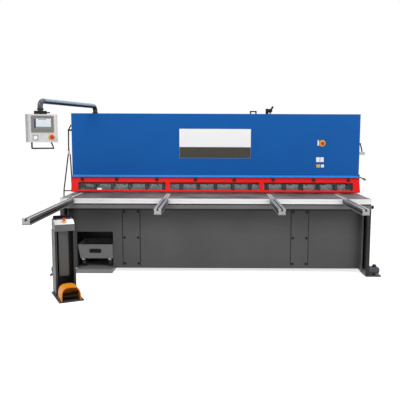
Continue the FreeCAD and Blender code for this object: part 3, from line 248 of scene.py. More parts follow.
def clear_sheet(name, colour, alpha):
    """A clear sheet with a faint tint and smears."""
    material, tree, shader = new_material(name)
    tree.links.new(ramp(tree, noise(tree, 4.0), shade(colour, 0.94), colour), shader.inputs["Base Color"])
    tree.links.new(scaled(tree, noise(tree, 3.0), alpha - 0.04, alpha + 0.04), shader.inputs["Alpha"])
    tree.links.new(scaled(tree, noise(tree, 18.0), 0.05, 0.12), shader.inputs["Roughness"])
    shader.inputs["Specular IOR Level"].default_value = 0.15
    return material


def lit_for_camera(tree, hidden, shown):
    """One value for what the camera, gloss and glass see, and another for the rest."""
    paths = tree.nodes.new("ShaderNodeLightPath")
    seen = paths.outputs["Is Camera Ray"]
    for ray in ("Is Glossy Ray", "Is Transmission Ray"):
        either = tree.nodes.new("ShaderNodeMath")
        either.operation = "MAXIMUM"
        tree.links.new(seen, either.inputs[0])
        tree.links.new(paths.outputs[ray], either.inputs[1])
        seen = either.outputs["Value"]
    level = tree.nodes.new("ShaderNodeMapRange")
    level.inputs["To Min"].default_value = hidden
    level.inputs["To Max"].default_value = shown
    tree.links.new(seen, level.inputs["Value"])
    return level.outputs["Result"]


def backdrop(name, colour, lift):
    """A pale floor that keeps the shadow and shows white to the camera."""
    material, tree, shader = new_material(name)
    tree.links.new(ramp(tree, noise(tree, 2.0), shade(colour, 0.99), colour), shader.inputs["Base Color"])
    shader.inputs["Roughness"].default_value = 0.9
    shader.inputs["Specular IOR Level"].default_value = 0.0
    glow = tree.nodes.new("ShaderNodeEmission")
    tree.links.new(lit_for_camera(tree, 0.0, lift), glow.inputs["Strength"])
    total = tree.nodes.new("ShaderNodeAddShader")
    tree.links.new(shader.outputs["BSDF"], total.inputs[0])
    tree.links.new(glow.outputs["Emission"], total.inputs[1])
    tree.links.new(total.outputs["Shader"], tree.nodes["Material Output"].inputs["Surface"])
    return material


# Places that the finishes follow, painted shade and highlights among them, in metres
PANEL_SHADE = (0.42, 0.74)
PANEL_TOP_SHADOW_LINE = (0.702, 0.706)
RAIL_TOP_SHADOW_LINE = (0.795, 0.9)
COVER_LIP_HIGHLIGHT_TOP = 1.08
GUARD_LEAN = math.radians(25)
GUARD_SHADE_BAND = (0.812, 0.838)
ARM_FOOT_HIGHLIGHT = (0.80, 0.811)
ROD_FITTINGS = (1.318, 1.358)
BOOM_TURN = math.radians(-106)
BOOM_REACH = 1.145
BOOM_FOOT_PAINT = 0.046
BOOM_END_PAINT = 0.058
PENDANT_TURN = math.radians(27)

boom_x, boom_y, _ = middle_of("boom_post")
BOOM_PIVOT = (boom_x, boom_y, 0)
guard_up = (0, math.sin(GUARD_LEAN), math.cos(GUARD_LEAN))
boom_way = (math.cos(BOOM_TURN), math.sin(BOOM_TURN), 0)
boom_back = tuple(-part for part in boom_way)
boom_from = Vector(BOOM_PIVOT).dot(Vector(boom_way))
boom_end_paint = boom_from + BOOM_REACH - BOOM_END_PAINT
pendant_shaded_side = (-math.cos(PENDANT_TURN), -math.sin(PENDANT_TURN), 0)

# Black for the painted shadow lines in gaps and recesses
painted_shadow_black = (0.006, 0.006, 0.006)
boom_black = (0.016, 0.017, 0.020)
brushed = (6.0, 0.3, 6.0)

frame_grey = painted("frame grey", (0.044, 0.044, 0.046), gloss=0.3)
# The right side frame: the frame grey painted darker as shade
shaded_frame_grey = painted("shaded frame grey", (0.020, 0.020, 0.021), gloss=0.25)
# Front panel and its covers: painted shade darkening towards the top under the table, and a black painted
# shadow line along the top
panel_grey = painted("panel grey", (0.084, 0.082, 0.083), gloss=0.35, coats=[
    (along(UP, *PANEL_SHADE), (0.046, 0.045, 0.046)), (along(UP, *PANEL_TOP_SHADOW_LINE), painted_shadow_black)])
channel_grey = painted("channel grey", (0.135, 0.130, 0.125), gloss=0.35)
pedestal_grey = painted("pedestal grey", (0.030, 0.030, 0.031), gloss=0.3)
# Table bed: a black band of painted shade in the recess under the table top
rail_grey = painted("rail grey", (0.150, 0.146, 0.147), gloss=0.35, coats=[
    (band(UP, *RAIL_TOP_SHADOW_LINE), painted_shadow_black)])
lug_grey = painted("lug grey", (0.055, 0.062, 0.072), gloss=0.35)
# Blue cover: the upward faces of its bottom lip carry a lighter blue as a painted highlight
cover_blue = painted("cover blue", (0.001, 0.104, 0.402), roughness=0.5, texture=0.0002, vary=0.04,
                     wear=0.25, gloss=0.2, coats=[
    (both(UPWARD, past(DOWN, -COVER_LIP_HIGHLIGHT_TOP, 0.01)), (0.02, 0.26, 0.74))])
# Guard: a darker red band along its lean is painted shade
guard_red = painted("guard red", (0.90, 0.006, 0.008), roughness=0.45, texture=0.0002, vary=0.05,
                    wear=0.2, gloss=0.15, coats=[
    (band(guard_up, *GUARD_SHADE_BAND, 0.004), (0.62, 0.012, 0.018))])
# Pendant and cabinet: faces that look towards the pendant's left are painted darker as shade
light_grey = painted("light grey", (0.72, 0.715, 0.71), roughness=0.45, coats=[
    (along(pendant_shaded_side, 0.6, 0.8, "Normal"), (0.34, 0.338, 0.335))])
console_grey = painted("console grey", (0.12, 0.12, 0.125), roughness=0.45, coats=[
    (SLOPED, (0.88, 0.88, 0.87))])
beam_grey = painted("beam grey", (0.17, 0.17, 0.172), roughness=0.5, gloss=0.3)
plate_white = painted("plate white", (1.0, 1.0, 0.99), roughness=0.5, texture=0.0001, vary=0.02,
                      wear=0.1, gloss=0.3)
plate_dark = painted("plate dark", (0.052, 0.046, 0.036), roughness=0.5, texture=0.0001, vary=0.05,
                     wear=0.1, gloss=0.3)
# Foot switch hood: upward faces carry a brighter orange as a painted highlight
hood_orange = painted("hood orange", (0.78, 0.23, 0.005), roughness=0.38, gloss=0.3, coats=[
    (UPWARD, (1.0, 0.36, 0.008))])
table_steel = metal("table steel", (0.86, 0.86, 0.85), roughness=0.5, stretch=(0.2, 6.0, 1.0), vary=0.04,
                    shine=0.2, coats=[(UPWARD, (0.074, 0.074, 0.075))])
# Arms: the dark base is painted shade on the sides; upward and forward faces are lighter as painted light,
# with a painted highlight in a band along the foot of the sides
arm_alloy = metal("arm alloy", (0.13, 0.13, 0.13), roughness=0.45, stretch=brushed, shine=0.6, coats=[
    (UPWARD, (0.46, 0.46, 0.46)), (FRONTWARD, (0.42, 0.42, 0.43)),
    (band(UP, *ARM_FOOT_HIGHLIGHT), (0.30, 0.30, 0.30))])
# Fence and slot strips: upward faces are pale as painted light, and the darker sides are painted shade
fence_alloy = metal("fence alloy", (0.34, 0.34, 0.34), roughness=0.45, stretch=brushed, shine=0.4, coats=[
    (UPWARD, (0.85, 0.85, 0.84))])
dark_steel = metal("dark steel", (0.10, 0.105, 0.11), roughness=0.42)
bright_steel = metal("bright steel", (0.55, 0.56, 0.57))
# Boom: downward faces are painted black as shade; the two ends are painted as their dark castings
tube_grey = painted("tube grey", (0.27, 0.35, 0.46), roughness=0.3, coats=[
    (DOWNWARD, boom_black),
    (past(boom_way, boom_end_paint, 0.004), (0.055, 0.062, 0.075)),
    (past(boom_back, -boom_from - BOOM_FOOT_PAINT, 0.004), boom_black)])
black_metal = painted("black metal", (0.010, 0.010, 0.011), roughness=0.45, wear=0.08, gloss=0.18)
rod_black = painted("rod black", (0.008, 0.008, 0.008), roughness=0.5, wear=0.05, gloss=0.12, coats=[
    (band(UP, *ROD_FITTINGS), (0.66, 0.60, 0.50))])
black_plastic = plastic("black plastic", (0.009, 0.009, 0.010), roughness=0.4, gloss=0.18)
tyre_black = plastic("tyre black", (0.018, 0.018, 0.018), roughness=0.7, vary=0.15, grain=300.0)
bezel_grey = plastic("bezel grey", (0.20, 0.185, 0.17), roughness=0.45)
stop_red = plastic("stop red", (0.62, 0.008, 0.008), roughness=0.22)
stop_yellow = plastic("stop yellow", (0.85, 0.50, 0.01))
hub_white = plastic("hub white", (0.70, 0.70, 0.68), roughness=0.4)
screen_white = plastic("screen white", (0.80, 0.86, 0.90), roughness=0.12, vary=0.03)
screen_blue = plastic("screen blue", (0.02, 0.045, 0.16), roughness=0.12, vary=0.05)
screen_teal = plastic("screen teal", (0.05, 0.33, 0.36), roughness=0.12, vary=0.05)
screen_green = plastic("screen green", (0.10, 0.42, 0.10), roughness=0.12, vary=0.05)
window_clear = clear_sheet("window clear", (0.05, 0.11, 0.115), alpha=0.14)
cart_paint = painted("cart paint", (0.20, 0.195, 0.195), gloss=0.35)
track_paint = painted("track paint", (0.30, 0.295, 0.30), gloss=0.35)
plunger_steel = metal("plunger steel", (0.10, 0.10, 0.10), roughness=0.35, stretch=(8, 8, 0.5))
plate_yellow = painted("plate yellow", (0.75, 0.50, 0.06), roughness=0.5, texture=0.0001, vary=0.05,
                       wear=0.1, gloss=0.3)

FINISHES = {
    "side_frame_left": frame_grey, "side_frame_right": shaded_frame_grey, "floor_plates": dark_steel,
    "levelling_lugs": lug_grey, "levelling_bolts": black_metal, "table_top": table_steel,
    "table_bed": rail_grey, "bed_beam": frame_grey, "lower_blade": bright_steel,
    "front_panel": panel_grey, "panel_covers": panel_grey, "cart_track": track_paint,
    "squaring_arm": arm_alloy, "squaring_fence": fence_alloy, "support_arms": arm_alloy,
    "cart_bay_wall": frame_grey, "front_cover": cover_blue,
    "name_plate": plate_white, "guard_frame": guard_red, "guard_windows": window_clear,
    "guard_knobs": black_plastic, "hold_down_beam": beam_grey, "top_beam": frame_grey,
    "oil_tank": frame_grey, "main_cylinders": dark_steel, "pivot_pins": bright_steel,
    "sheet_slide": frame_grey, "rear_tie": frame_grey, "electrical_cabinet": light_grey,
    "pump_motor": cover_blue, "lifting_bracket": black_metal, "pressure_gauge": black_metal,
    "side_pipes": rod_black, "rail_knob": black_plastic, "boom_post": dark_steel,
    "pedestal_base": frame_grey, "pedestal_column": pedestal_grey, "pedestal_channel": channel_grey,
    "pedestal_console": console_grey, "pedestal_handle": black_plastic, "switch_hood": hood_orange,
    "stop_bases": stop_yellow, "swing_beam": beam_grey, "upper_blade": bright_steel,
    "cylinder_rods": bright_steel, "back_gauge": bright_steel, "hold_down_plungers": plunger_steel,
    "boom_tube": tube_grey, "pendant_coupling": black_metal, "pendant_box": light_grey,
    "pendant_bezel": bezel_grey, "pendant_handle": black_plastic, "pendant_stop_base": stop_yellow,
    "pendant_stop_button": stop_red, "cover_stop_button": stop_red, "pedestal_stop_button": stop_red,
    "foot_pedal": black_plastic, "cart_tray": cart_paint, "front_wheels": hub_white,
    "rear_wheels": hub_white,
}
# Widths of the rounded edges, in millimetres
EDGE_ROUND = {
    "table_top": 1.0, "squaring_arm": 0.8, "support_arms": 0.8, "front_cover": 0.8, "pendant_box": 6.0,
    "pendant_bezel": 2.0, "pendant_handle": 3.0, "levelling_lugs": 20.0, "floor_plates": 3.0,
    "front_panel": 1.5, "panel_covers": 0.8, "cart_tray": 1.0, "cart_track": 1.5, "guard_frame": 1.5,
    "switch_hood": 2.0, "pedestal_console": 2.0, "pedestal_column": 1.0, "pedestal_channel": 1.5,
    "pedestal_handle": 2.5, "electrical_cabinet": 3.0, "side_pipes": 3.0, "boom_tube": 6.0,
    "side_frame_left": 1.5, "side_frame_right": 1.5, "lifting_bracket": 2.0, "swing_beam": 1.5,
    "table_bed": 1.0, "hold_down_beam": 1.0, "name_plate": 0.5, "levelling_bolts": 1.5,
    "pressure_gauge": 3.0, "pedestal_base": 1.5, "oil_tank": 2.0, "top_beam": 2.0,
}
MM = 0.001


def round_edges(thing, width, angle=40):
    edges = thing.modifiers.new("rounded edges", "BEVEL")
    edges.width = width * MM
    edges.segments = 4 if width > 10 else 2
    edges.limit_method = "ANGLE"
    edges.angle_limit = math.radians(angle)


for name, finish in FINISHES.items():
    thing = nodes[name]
    thing.data.materials.clear()
    thing.data.materials.append(finish)
    if name in EDGE_ROUND:
        round_edges(thing, EDGE_ROUND[name])


# Mesh pieces

def piece(name, build, material, body, placed=None, soft=False):
    """Makes an object from a mesh that build fills, and lets it ride on a body."""
    mesh = bpy.data.meshes.new(name)
    work = bmesh.new()
    build(work)
    if placed is not None:
        bmesh.ops.transform(work, matrix=placed, verts=work.verts)
    bmesh.ops.recalc_face_normals(work, faces=work.faces)
    for face in work.faces:
        face.smooth = soft
    work.to_mesh(mesh)
    work.free()
    mesh.materials.append(material)
    thing = bpy.data.objects.new(name, mesh)
    bpy.context.scene.collection.objects.link(thing)
    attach(thing, body)
    return thing


def slab(work, low, high, round_size=0.0, segments=2):
    """A block between two corners with rounded edges."""
    made = bmesh.ops.create_cube(work, size=1.0)
    size = [b - a for a, b in zip(low, high)]
    middle = [(a + b) / 2 for a, b in zip(low, high)]
    bmesh.ops.scale(work, vec=size, verts=made["verts"])
    bmesh.ops.translate(work, vec=middle, verts=made["verts"])
    if round_size:
        edges = list({edge for vert in made["verts"] for edge in vert.link_edges})
        bmesh.ops.bevel(work, geom=edges, offset=round_size, segments=segments, affect="EDGES", profile=0.6)


def turned(work, outline, steps=40):
    """Turns a list of (radius, height) points round the Z axis."""
    rings = []
    for radius, height in outline:
        if radius == 0:
            rings.append([work.verts.new((0, 0, height))])
            continue
        ring = []
        for i in range(steps):
            angle = 2 * math.pi * i / steps
            ring.append(work.verts.new((radius * math.cos(angle), radius * math.sin(angle), height)))
        rings.append(ring)
    for low, high in zip(rings, rings[1:]):
        for i in range(steps):
            j = (i + 1) % steps
            if len(low) == 1:
                work.faces.new((low[0], high[i], high[j]))
            elif len(high) == 1:
                work.faces.new((low[i], low[j], high[0]))
            else:
                work.faces.new((low[i], low[j], high[j], high[i]))


def facing(point, direction):
    """A place whose Z axis points along a direction."""
    turn = Vector(direction).to_track_quat("Z", "Y").to_matrix().to_4x4()
    return Matrix.Translation(Vector(point)) @ turn


def repeated(build, places):
    """Builds the same small part at each of many places in one mesh."""
    def build_all(work):
        for place in places:
            before = set(work.verts)
            build(work)
            new = [vert for vert in work.verts if vert not in before]
            bmesh.ops.transform(work, matrix=place, verts=new)
    return build_all


def hard_corners(thing, degrees=35):
    """Keeps the hard corners of a smooth piece sharp."""
    split = thing.modifiers.new("hard corners", "EDGE_SPLIT")
    split.split_angle = math.radians(degrees)
    return thing


def turned_piece(name, outline, point, direction, material, body, steps=40):
    """A turned shape that stands on a point and looks along a direction."""
    build = repeated(lambda work: turned(work, outline, steps), [facing(point, direction)])
    return hard_corners(piece(name, build, material, body, None, True))


def screw_head(work, radius, tall):
    """A socket screw: a round head with a six-sided recess."""
    steps = 24
    socket = 0.5 * radius
    turned(work, [(radius, 0), (radius, 0.85 * tall), (0.88 * radius, tall), (socket, tall)], steps)
    rim = []
    floor = []
    for i in range(steps):
        angle = 2 * math.pi * i / steps
        reach = socket * math.cos(math.pi / 6) / math.cos((angle % (math.pi / 3)) - math.pi / 6)
        rim.append(work.verts.new((reach * math.cos(angle), reach * math.sin(angle), tall)))
        floor.append(work.verts.new((reach * math.cos(angle), reach * math.sin(angle), 0.4 * tall)))
    for i in range(steps):
        j = (i + 1) % steps
        work.faces.new((rim[i], rim[j], floor[j], floor[i]))
    work.faces.new(floor)


def screws(name, points, direction, radius, tall, material, body):
    """A set of like socket screws that stand on one face."""
    places = [facing(point, direction) for point in points]
    return piece(name, repeated(lambda work: screw_head(work, radius, tall), places), material, body)


def hexagon_heads(name, points, direction, across, tall, material, body):
    """Hexagon bolt heads on washers."""
    radius = across / math.sqrt(3)

    def head(work):
        turned(work, [(0, 0), (1.25 * radius, 0), (1.25 * radius, 0.12 * tall), (0, 0.12 * tall)], 24)
        turned(work, [(radius, 0.12 * tall), (radius, 0.9 * tall), (0.86 * radius, tall), (0, tall)], 6)

    places = [facing(point, direction) for point in points]
    return piece(name, repeated(head, places), material, body)


# How far a thin sheet or mark stands on its face, and the edge it is rounded by
FILM = 0.0006
FILM_ROUND = 0.0002

# Cover: fixing screws, the dark half of the sign and bare plates beside the stop.
SIGN_DARK_TOP = 1.407
SIGN_EDGE = 0.001
PLATE_THICK = 0.0008
STOP_PLATE = (1.202, 1.217, 1.427, 1.493)
UPPER_LEFT_PLATE = (1.190, 1.232, 1.236, 1.291)
UPPER_RIGHT_PLATE = (1.238, 1.280, 1.236, 1.291)
LOWER_LEFT_PLATE = (1.195, 1.239, 1.172, 1.206)
LOWER_RIGHT_PLATE = (1.249, 1.284, 1.172, 1.206)
COVER_SCREW_X = (1.68, 0.84)
COVER_SCREW_Z = (1.10, 1.777)
sign_low, sign_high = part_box("name_plate")
cover_face = sign_high[1]
sign_face = sign_low[1]
piece("sign_dark_panel",
      lambda work: slab(work, (sign_low[0] + SIGN_EDGE, sign_face - FILM, sign_low[2] + SIGN_EDGE),
                        (sign_high[0] - SIGN_EDGE, sign_face, SIGN_DARK_TOP), FILM_ROUND),
      plate_dark, "frame")


def bare_plates(*plates):
    """Thin blank plates on the cover, each given by its sides (x1, x2, z1, z2)."""
    def build(work):
        for x1, x2, z1, z2 in plates:
            slab(work, (x1, cover_face - PLATE_THICK, z1), (x2, cover_face, z2), FILM_ROUND)
    return build


piece("cover_bare_plates",
      bare_plates(STOP_PLATE, UPPER_LEFT_PLATE, UPPER_RIGHT_PLATE, LOWER_RIGHT_PLATE), plate_white, "frame")
piece("cover_yellow_plate", bare_plates(LOWER_LEFT_PLATE), plate_yellow, "frame")
screws("cover_screws",
       [(side * x, cover_face, z) for side in (-1, 1) for x in COVER_SCREW_X for z in COVER_SCREW_Z],
       FRONT, radius=0.006, tall=0.004, material=dark_steel, body="frame")

# Emergency stops: domed heads and round collars in place of the many-sided ones.
STOP_RADIUS = 0.022
STOP_TALL = 0.015
STOP_NECK = 0.009
STOP_SINK = 0.0015
STOP_BASE = 0.008
STEM_RADIUS = 0.011
PEDESTAL_COLLAR_TALL = 0.018
PEDESTAL_COLLAR_DOWN = 0.030


def stop_piece(name, node, body, direction):
    """A red mushroom head that stands for a stop's plain one."""
    radius = STOP_RADIUS
    tall = STOP_TALL
    neck = 0.36 * radius
    outline = [(neck, -STOP_NECK), (neck, 0), (0.72 * radius, 0), (0.96 * radius, 0.15 * tall),
               (radius, 0.4 * tall), (0.97 * radius, 0.72 * tall), (0.84 * radius, 0.9 * tall),
               (0.55 * radius, tall), (0, 1.02 * tall)]
    out = Vector(direction)
    base = Vector(middle_of(node)) - out * STOP_SINK
    head = turned_piece(name, outline, base, out, stop_red, body)
    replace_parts(head, node)


def collar(name, node, point, direction, radius, tall, body):
    """A smooth yellow disc under an emergency stop."""
    outline = [(STEM_RADIUS, 0), (radius, 0), (radius, 0.8 * tall), (0.96 * radius, tall),
               (0.5 * radius, tall), (0.5 * radius, 0.9 * tall), (STEM_RADIUS, 0.9 * tall)]
    disc = turned_piece(name, outline, point, direction, stop_yellow, body, 48)
    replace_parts(disc, node)


pendant_out = (math.sin(PENDANT_TURN), -math.cos(PENDANT_TURN), 0)
pendant_base = Vector(middle_of("pendant_stop_base")) - Vector(pendant_out) * STOP_BASE / 2
cover_x, _, cover_z = middle_of("cover_stop_button")
pedestal_x, pedestal_y, pedestal_z = middle_of("pedestal_stop_button")
collar("pendant_collar", "pendant_stop_base", pendant_base, pendant_out,
       radius=0.030, tall=STOP_BASE, body="pendant")
collar("cover_collar", "stop_bases", (cover_x, cover_face, cover_z), FRONT,
       radius=0.038, tall=STOP_BASE, body="frame")
collar("pedestal_collar", "stop_bases", (pedestal_x, pedestal_y, pedestal_z - PEDESTAL_COLLAR_DOWN), UP,
       radius=0.019, tall=PEDESTAL_COLLAR_TALL, body="frame")
stop_piece("cover_stop_head", "cover_stop_button", "cover_stop", FRONT)
stop_piece("pendant_stop_head", "pendant_stop_button", "pendant_stop", pendant_out)
stop_piece("pedestal_stop_head", "pedestal_stop_button", "pedestal_stop", UP)

# Guard knobs: eight black grips with a waist and a domed end.
KNOB_PLACES_X = (-1.576, -1.171, -0.696, -0.239, 0.220, 0.679, 1.159, 1.570)
KNOB_HALF = 0.008
knob_outline = [(0.011, 0), (0.010, 0.003), (0.0195, 0.007), (0.020, 0.013), (0.016, 0.0165), (0, 0.0175)]
knob_out = Vector((0, -math.cos(GUARD_LEAN), math.sin(GUARD_LEAN)))
_, knob_y, knob_z = middle_of("guard_knobs")
knob_places = [facing(Vector((x, knob_y, knob_z)) - knob_out * KNOB_HALF, knob_out) for x in KNOB_PLACES_X]
knobs = piece("guard_grips", repeated(lambda work: turned(work, knob_outline, 24), knob_places),
              black_plastic, "frame", soft=True)
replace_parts(knobs, "guard_knobs")

# Bolted panel covers: their screws, and black strips of painted shadow at their sides and over their tops.
COVER_EDGES_X = (0.858, 1.046)
COVER_EDGES_Z = (0.074, 0.715)
COVER_THICK = 0.004
SHADOW_STRIP_WIDE = 0.009
PANEL_SCREW_X = (0.875, 1.029)
PANEL_SCREW_Z = (0.096, 0.394, 0.690)
plates_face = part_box("panel_covers")[0][1]
panel_face = plates_face + COVER_THICK
screws("panel_screws",
       [(side * x, plates_face, z) for side in (-1, 1) for x in PANEL_SCREW_X for z in PANEL_SCREW_Z],
       FRONT, radius=0.014, tall=0.006, material=black_metal, body="frame")


def cover_shadow_strips(work):
    """Black strips of painted shadow at both sides and over the top of each cover."""
    bottom, top = COVER_EDGES_Z
    for side in (-1, 1):
        left, right = sorted(side * x for x in COVER_EDGES_X)
        for x1, x2, z1, z2 in ((left - SHADOW_STRIP_WIDE, left, bottom, top), (right, right + SHADOW_STRIP_WIDE, bottom, top),
                               (left - SHADOW_STRIP_WIDE, right + SHADOW_STRIP_WIDE, top, top + SHADOW_STRIP_WIDE)):
            slab(work, (x1, panel_face - FILM, z1), (x2, panel_face, z2))


piece("cover_shadow_strips", cover_shadow_strips, black_metal, "frame")

# Arms: black strips on the floors of the side grooves, partly the grooves' dark anodising, partly painted
# shade.
ARM_HALF = 0.035
GROOVE_DEEP = 0.003
GROOVE_Z = (0.818, 0.838)
SHORT_ARMS_X = (-0.552, 0.624, 1.418)
long_low, long_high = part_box("squaring_arm")
long_arm_x = middle_of("squaring_arm")[0]
table_front = long_high[1]
short_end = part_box("support_arms")[0][1]


def groove_floors(work):
    for x, end in [(long_arm_x, long_low[1])] + [(x, short_end) for x in SHORT_ARMS_X]:
        for side in (-1, 1):
            floor_x = x + side * (ARM_HALF - GROOVE_DEEP)
            left, right = sorted((floor_x, floor_x + side * FILM))
            slab(work, (left, end + 0.001, GROOVE_Z[0]), (right, table_front, GROOVE_Z[1]))


piece("arm_groove_floors", groove_floors, black_metal, "frame")

# Strips and marks on the table and the long arm start this far under a top and end this far over it.
STRIP_UNDER = 0.0005
STRIP_OVER = 0.0004

# Table: strips beside the slots that carry on the lines of the arms, their tops pale with the fence's painted
# light.
SLOT_HALF = 0.007
STRIP_WIDE = 0.016
STRIP_LONG = 0.56
STRIP_IN = 0.004
table_top_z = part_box("table_top")[1][2]


def slot_strips(work):
    for x in SHORT_ARMS_X:
        for side in (-1, 1):
            left, right = sorted((x + side * SLOT_HALF, x + side * (SLOT_HALF + STRIP_WIDE)))
            slab(work, (left, table_front + STRIP_IN, table_top_z - STRIP_UNDER),
                 (right, table_front + STRIP_LONG, table_top_z + STRIP_OVER))


piece("slot_strips", slot_strips, fence_alloy, "frame")

# Long arm: a graduated strip beside its slot.
SCALE_OFF = 0.022
SCALE_HALF = 0.009
SCALE_PITCH = 0.01
MARK_WIDE = 0.0009
MARK_SHORT = 0.007
MARK_LONG = 0.014
scale_x = long_arm_x - SCALE_OFF
scale_start = long_low[1] + 0.01


def scale_marks(work):
    """A mark at every centimetre, with a longer one at every tenth."""
    count = int((long_high[1] - scale_start) / SCALE_PITCH)
    left = scale_x - SCALE_HALF + 0.001
    for i in range(count):
        reach = MARK_LONG if i % 10 == 0 else MARK_SHORT
        y = scale_start + 0.002 + i * SCALE_PITCH
        slab(work, (left, y, long_high[2] + 0.0002), (left + reach, y + MARK_WIDE, long_high[2] + FILM))


piece("scale_strip",
      lambda work: slab(work, (scale_x - SCALE_HALF, scale_start, long_high[2] - STRIP_UNDER),
                        (scale_x + SCALE_HALF, long_high[1], long_high[2] + STRIP_OVER)),
      plate_white, "frame")
piece("scale_marks", scale_marks, black_plastic, "frame")

# Wheels: black tyres on white hubs, in place of the plain discs.
WHEEL_WIDE = 0.024
AXLE_BORE = 0.0062


def tyre_outline(radius, inner):
    wide = WHEEL_WIDE
    return [(inner, 0), (0.9 * radius, 0), (0.98 * radius, 0.16 * wide), (radius, 0.35 * wide),
            (radius, 0.65 * wide), (0.98 * radius, 0.84 * wide), (0.9 * radius, wide), (inner, wide),
            (inner, 0)]


def hub_outline(radius, inner):
    wide = WHEEL_WIDE
    boss = 0.3 * radius
    return [(AXLE_BORE, 0.1 * wide), (boss, 0.1 * wide), (boss, 0.25 * wide), (inner, 0.25 * wide),
            (inner, 0.75 * wide), (boss, 0.75 * wide), (boss, 0.9 * wide), (AXLE_BORE, 0.9 * wide),
            (AXLE_BORE, 0.1 * wide)]


for name, body in (("front_wheels", "front_wheel_pair"), ("rear_wheels", "rear_wheel_pair")):
    low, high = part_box(name)
    radius = (high[2] - low[2]) / 2
    inner = 0.62 * radius
    middle = middle_of(name)
    places = [facing((x, middle[1], middle[2]), RIGHT) for x in (low[0], high[0] - WHEEL_WIDE)]
    for part, outline, finish in (("_tyres", tyre_outline(radius, inner), tyre_black),
                                  ("_hubs", hub_outline(radius, inner), hub_white)):
        build = repeated(lambda work, shape=outline: turned(work, shape), places)
        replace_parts(hard_corners(piece(name + part, build, finish, body, soft=True)), name)

# Cart: white tabs in front of the casters, each with an upright front.
TAB_X = (-1.508, -1.207)
TAB_Y = (-0.600, -0.540)
TAB_HALF = 0.008
TAB_Z = (0.146, 0.150)
TAB_FRONT_HALF = 0.013
TAB_FRONT_THICK = 0.006
TAB_FRONT_Z = (0.128, 0.152)


def caster_tabs(work):
    front, back = TAB_Y
    for x in TAB_X:
        slab(work, (x - TAB_HALF, front, TAB_Z[0]), (x + TAB_HALF, back, TAB_Z[1]), 0.001)
        slab(work, (x - TAB_FRONT_HALF, front - TAB_FRONT_THICK, TAB_FRONT_Z[0]),
             (x + TAB_FRONT_HALF, front, TAB_FRONT_Z[1]), 0.0028)


piece("caster_tabs", caster_tabs, plate_white, "cart")

# Cart bay: the upper part of its left wall.
BAY_SHEET = 0.004
BAY_SHEET_TOP = 0.30
bay_low, bay_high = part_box("cart_bay_wall")
piece("bay_side_sheet",
      lambda work: slab(work, (bay_low[0], bay_low[1], bay_high[2]),
                        (bay_low[0] + BAY_SHEET, bay_high[1], BAY_SHEET_TOP), 0.0005),
      frame_grey, "frame")

# Boom: one bent tube from the swivel to the pendant's coupling.
BOOM_TOP = 1.882
BOOM_FOOT = 1.7975
BOOM_LOW = 1.7835
BOOM_RADIUS = 0.0265
BOOM_BEND = 0.056
RING_OUTLINE = [(0.026, 0), (0.034, 0), (0.034, 0.009), (0.031, 0.012), (0.026, 0.012)]
RING_TALL = 0.012


def tube_path(steps=12):
    """Points and directions of the boom's middle line, seen from its side."""
    rise = []
    fall = []
    bend_x = BOOM_REACH - BOOM_BEND
    bend_z = BOOM_TOP - BOOM_BEND
    for i in range(steps + 1):
        angle = math.pi / 2 * i / steps
        sine = math.sin(angle)
        cosine = math.cos(angle)
        rise.append(((BOOM_BEND - BOOM_BEND * cosine, bend_z + BOOM_BEND * sine), (sine, cosine)))
        fall.append(((bend_x + BOOM_BEND * sine, bend_z + BOOM_BEND * cosine), (cosine, -sine)))
    return [((0, BOOM_FOOT), (0, 1))] + rise + fall + [((BOOM_REACH, BOOM_LOW), (0, -1))]


def bent_tube(work):
    sides = 32
    rings = []
    for (x, z), (along_x, along_z) in tube_path():
        ring = []
        for i in range(sides):
            angle = 2 * math.pi * i / sides
            reach = BOOM_RADIUS * math.cos(angle)
            across = BOOM_RADIUS * math.sin(angle)
            ring.append(work.verts.new((x - along_z * reach, across, z + along_x * reach)))
        rings.append(ring)
    for first, second in zip(rings, rings[1:]):
        for i in range(sides):
            j = (i + 1) % sides
            work.faces.new((first[i], first[j], second[j], second[i]))
    work.faces.new(rings[0])
    work.faces.new(rings[-1])


boom_place = Matrix.Translation(BOOM_PIVOT) @ Matrix.Rotation(BOOM_TURN, 4, "Z")
boom = hard_corners(piece("boom_bent_tube", bent_tube, tube_grey, "boom", boom_place, True))
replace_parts(boom, "boom_tube")
for label, at, height in (("boom_foot_ring", 0, BOOM_FOOT),
                          ("boom_end_ring", BOOM_REACH, BOOM_LOW + RING_TALL)):
    turned_piece(label, RING_OUTLINE, boom_place @ Vector((at, 0, height)), UP, black_metal, "boom")

# Foot switch: an arched hood open below, ribs on the pedal and a plate behind the console.
PEDESTAL_PLACE = (-1.43, -1.63, 0)
PEDESTAL_TURN = math.radians(26)
HOOD_FOOT = 0.012
HOOD_FRONT = -0.192
HOOD_BACK = -0.027
HOOD_LEAN = 0.022
HOOD_HALF = 0.093
HOOD_TALL = 0.127
HOOD_SIDE_WALL = 0.009
HOOD_WALL = 0.010
HOOD_SQUARENESS = 0.62
RIB_COUNT = 6
RIB_FIRST = -0.166
RIB_PITCH = 0.017
RIB_WIDE = 0.007
RIB_HALF = 0.054
RIB_Z = (0.0535, 0.0565)
BACK_PLATE = ((-0.075, 0.193, 0.737), (0.075, 0.199, 0.757))
pedestal_place = Matrix.Translation(PEDESTAL_PLACE) @ Matrix.Rotation(PEDESTAL_TURN, 4, "Z")


def hood_arch(work, half, tall, y, lean):
    """Points round an arch, from its right foot over the top to its left foot."""
    steps = 32
    ring = []
    for i in range(steps + 1):
        angle = math.pi * i / steps
        across = math.copysign(abs(math.cos(angle)) ** HOOD_SQUARENESS, math.cos(angle))
        up = math.sin(angle) ** HOOD_SQUARENESS if 0 < i < steps else 0.0
        ring.append(work.verts.new((half * across, y + lean * up, HOOD_FOOT + tall * up)))
    return ring


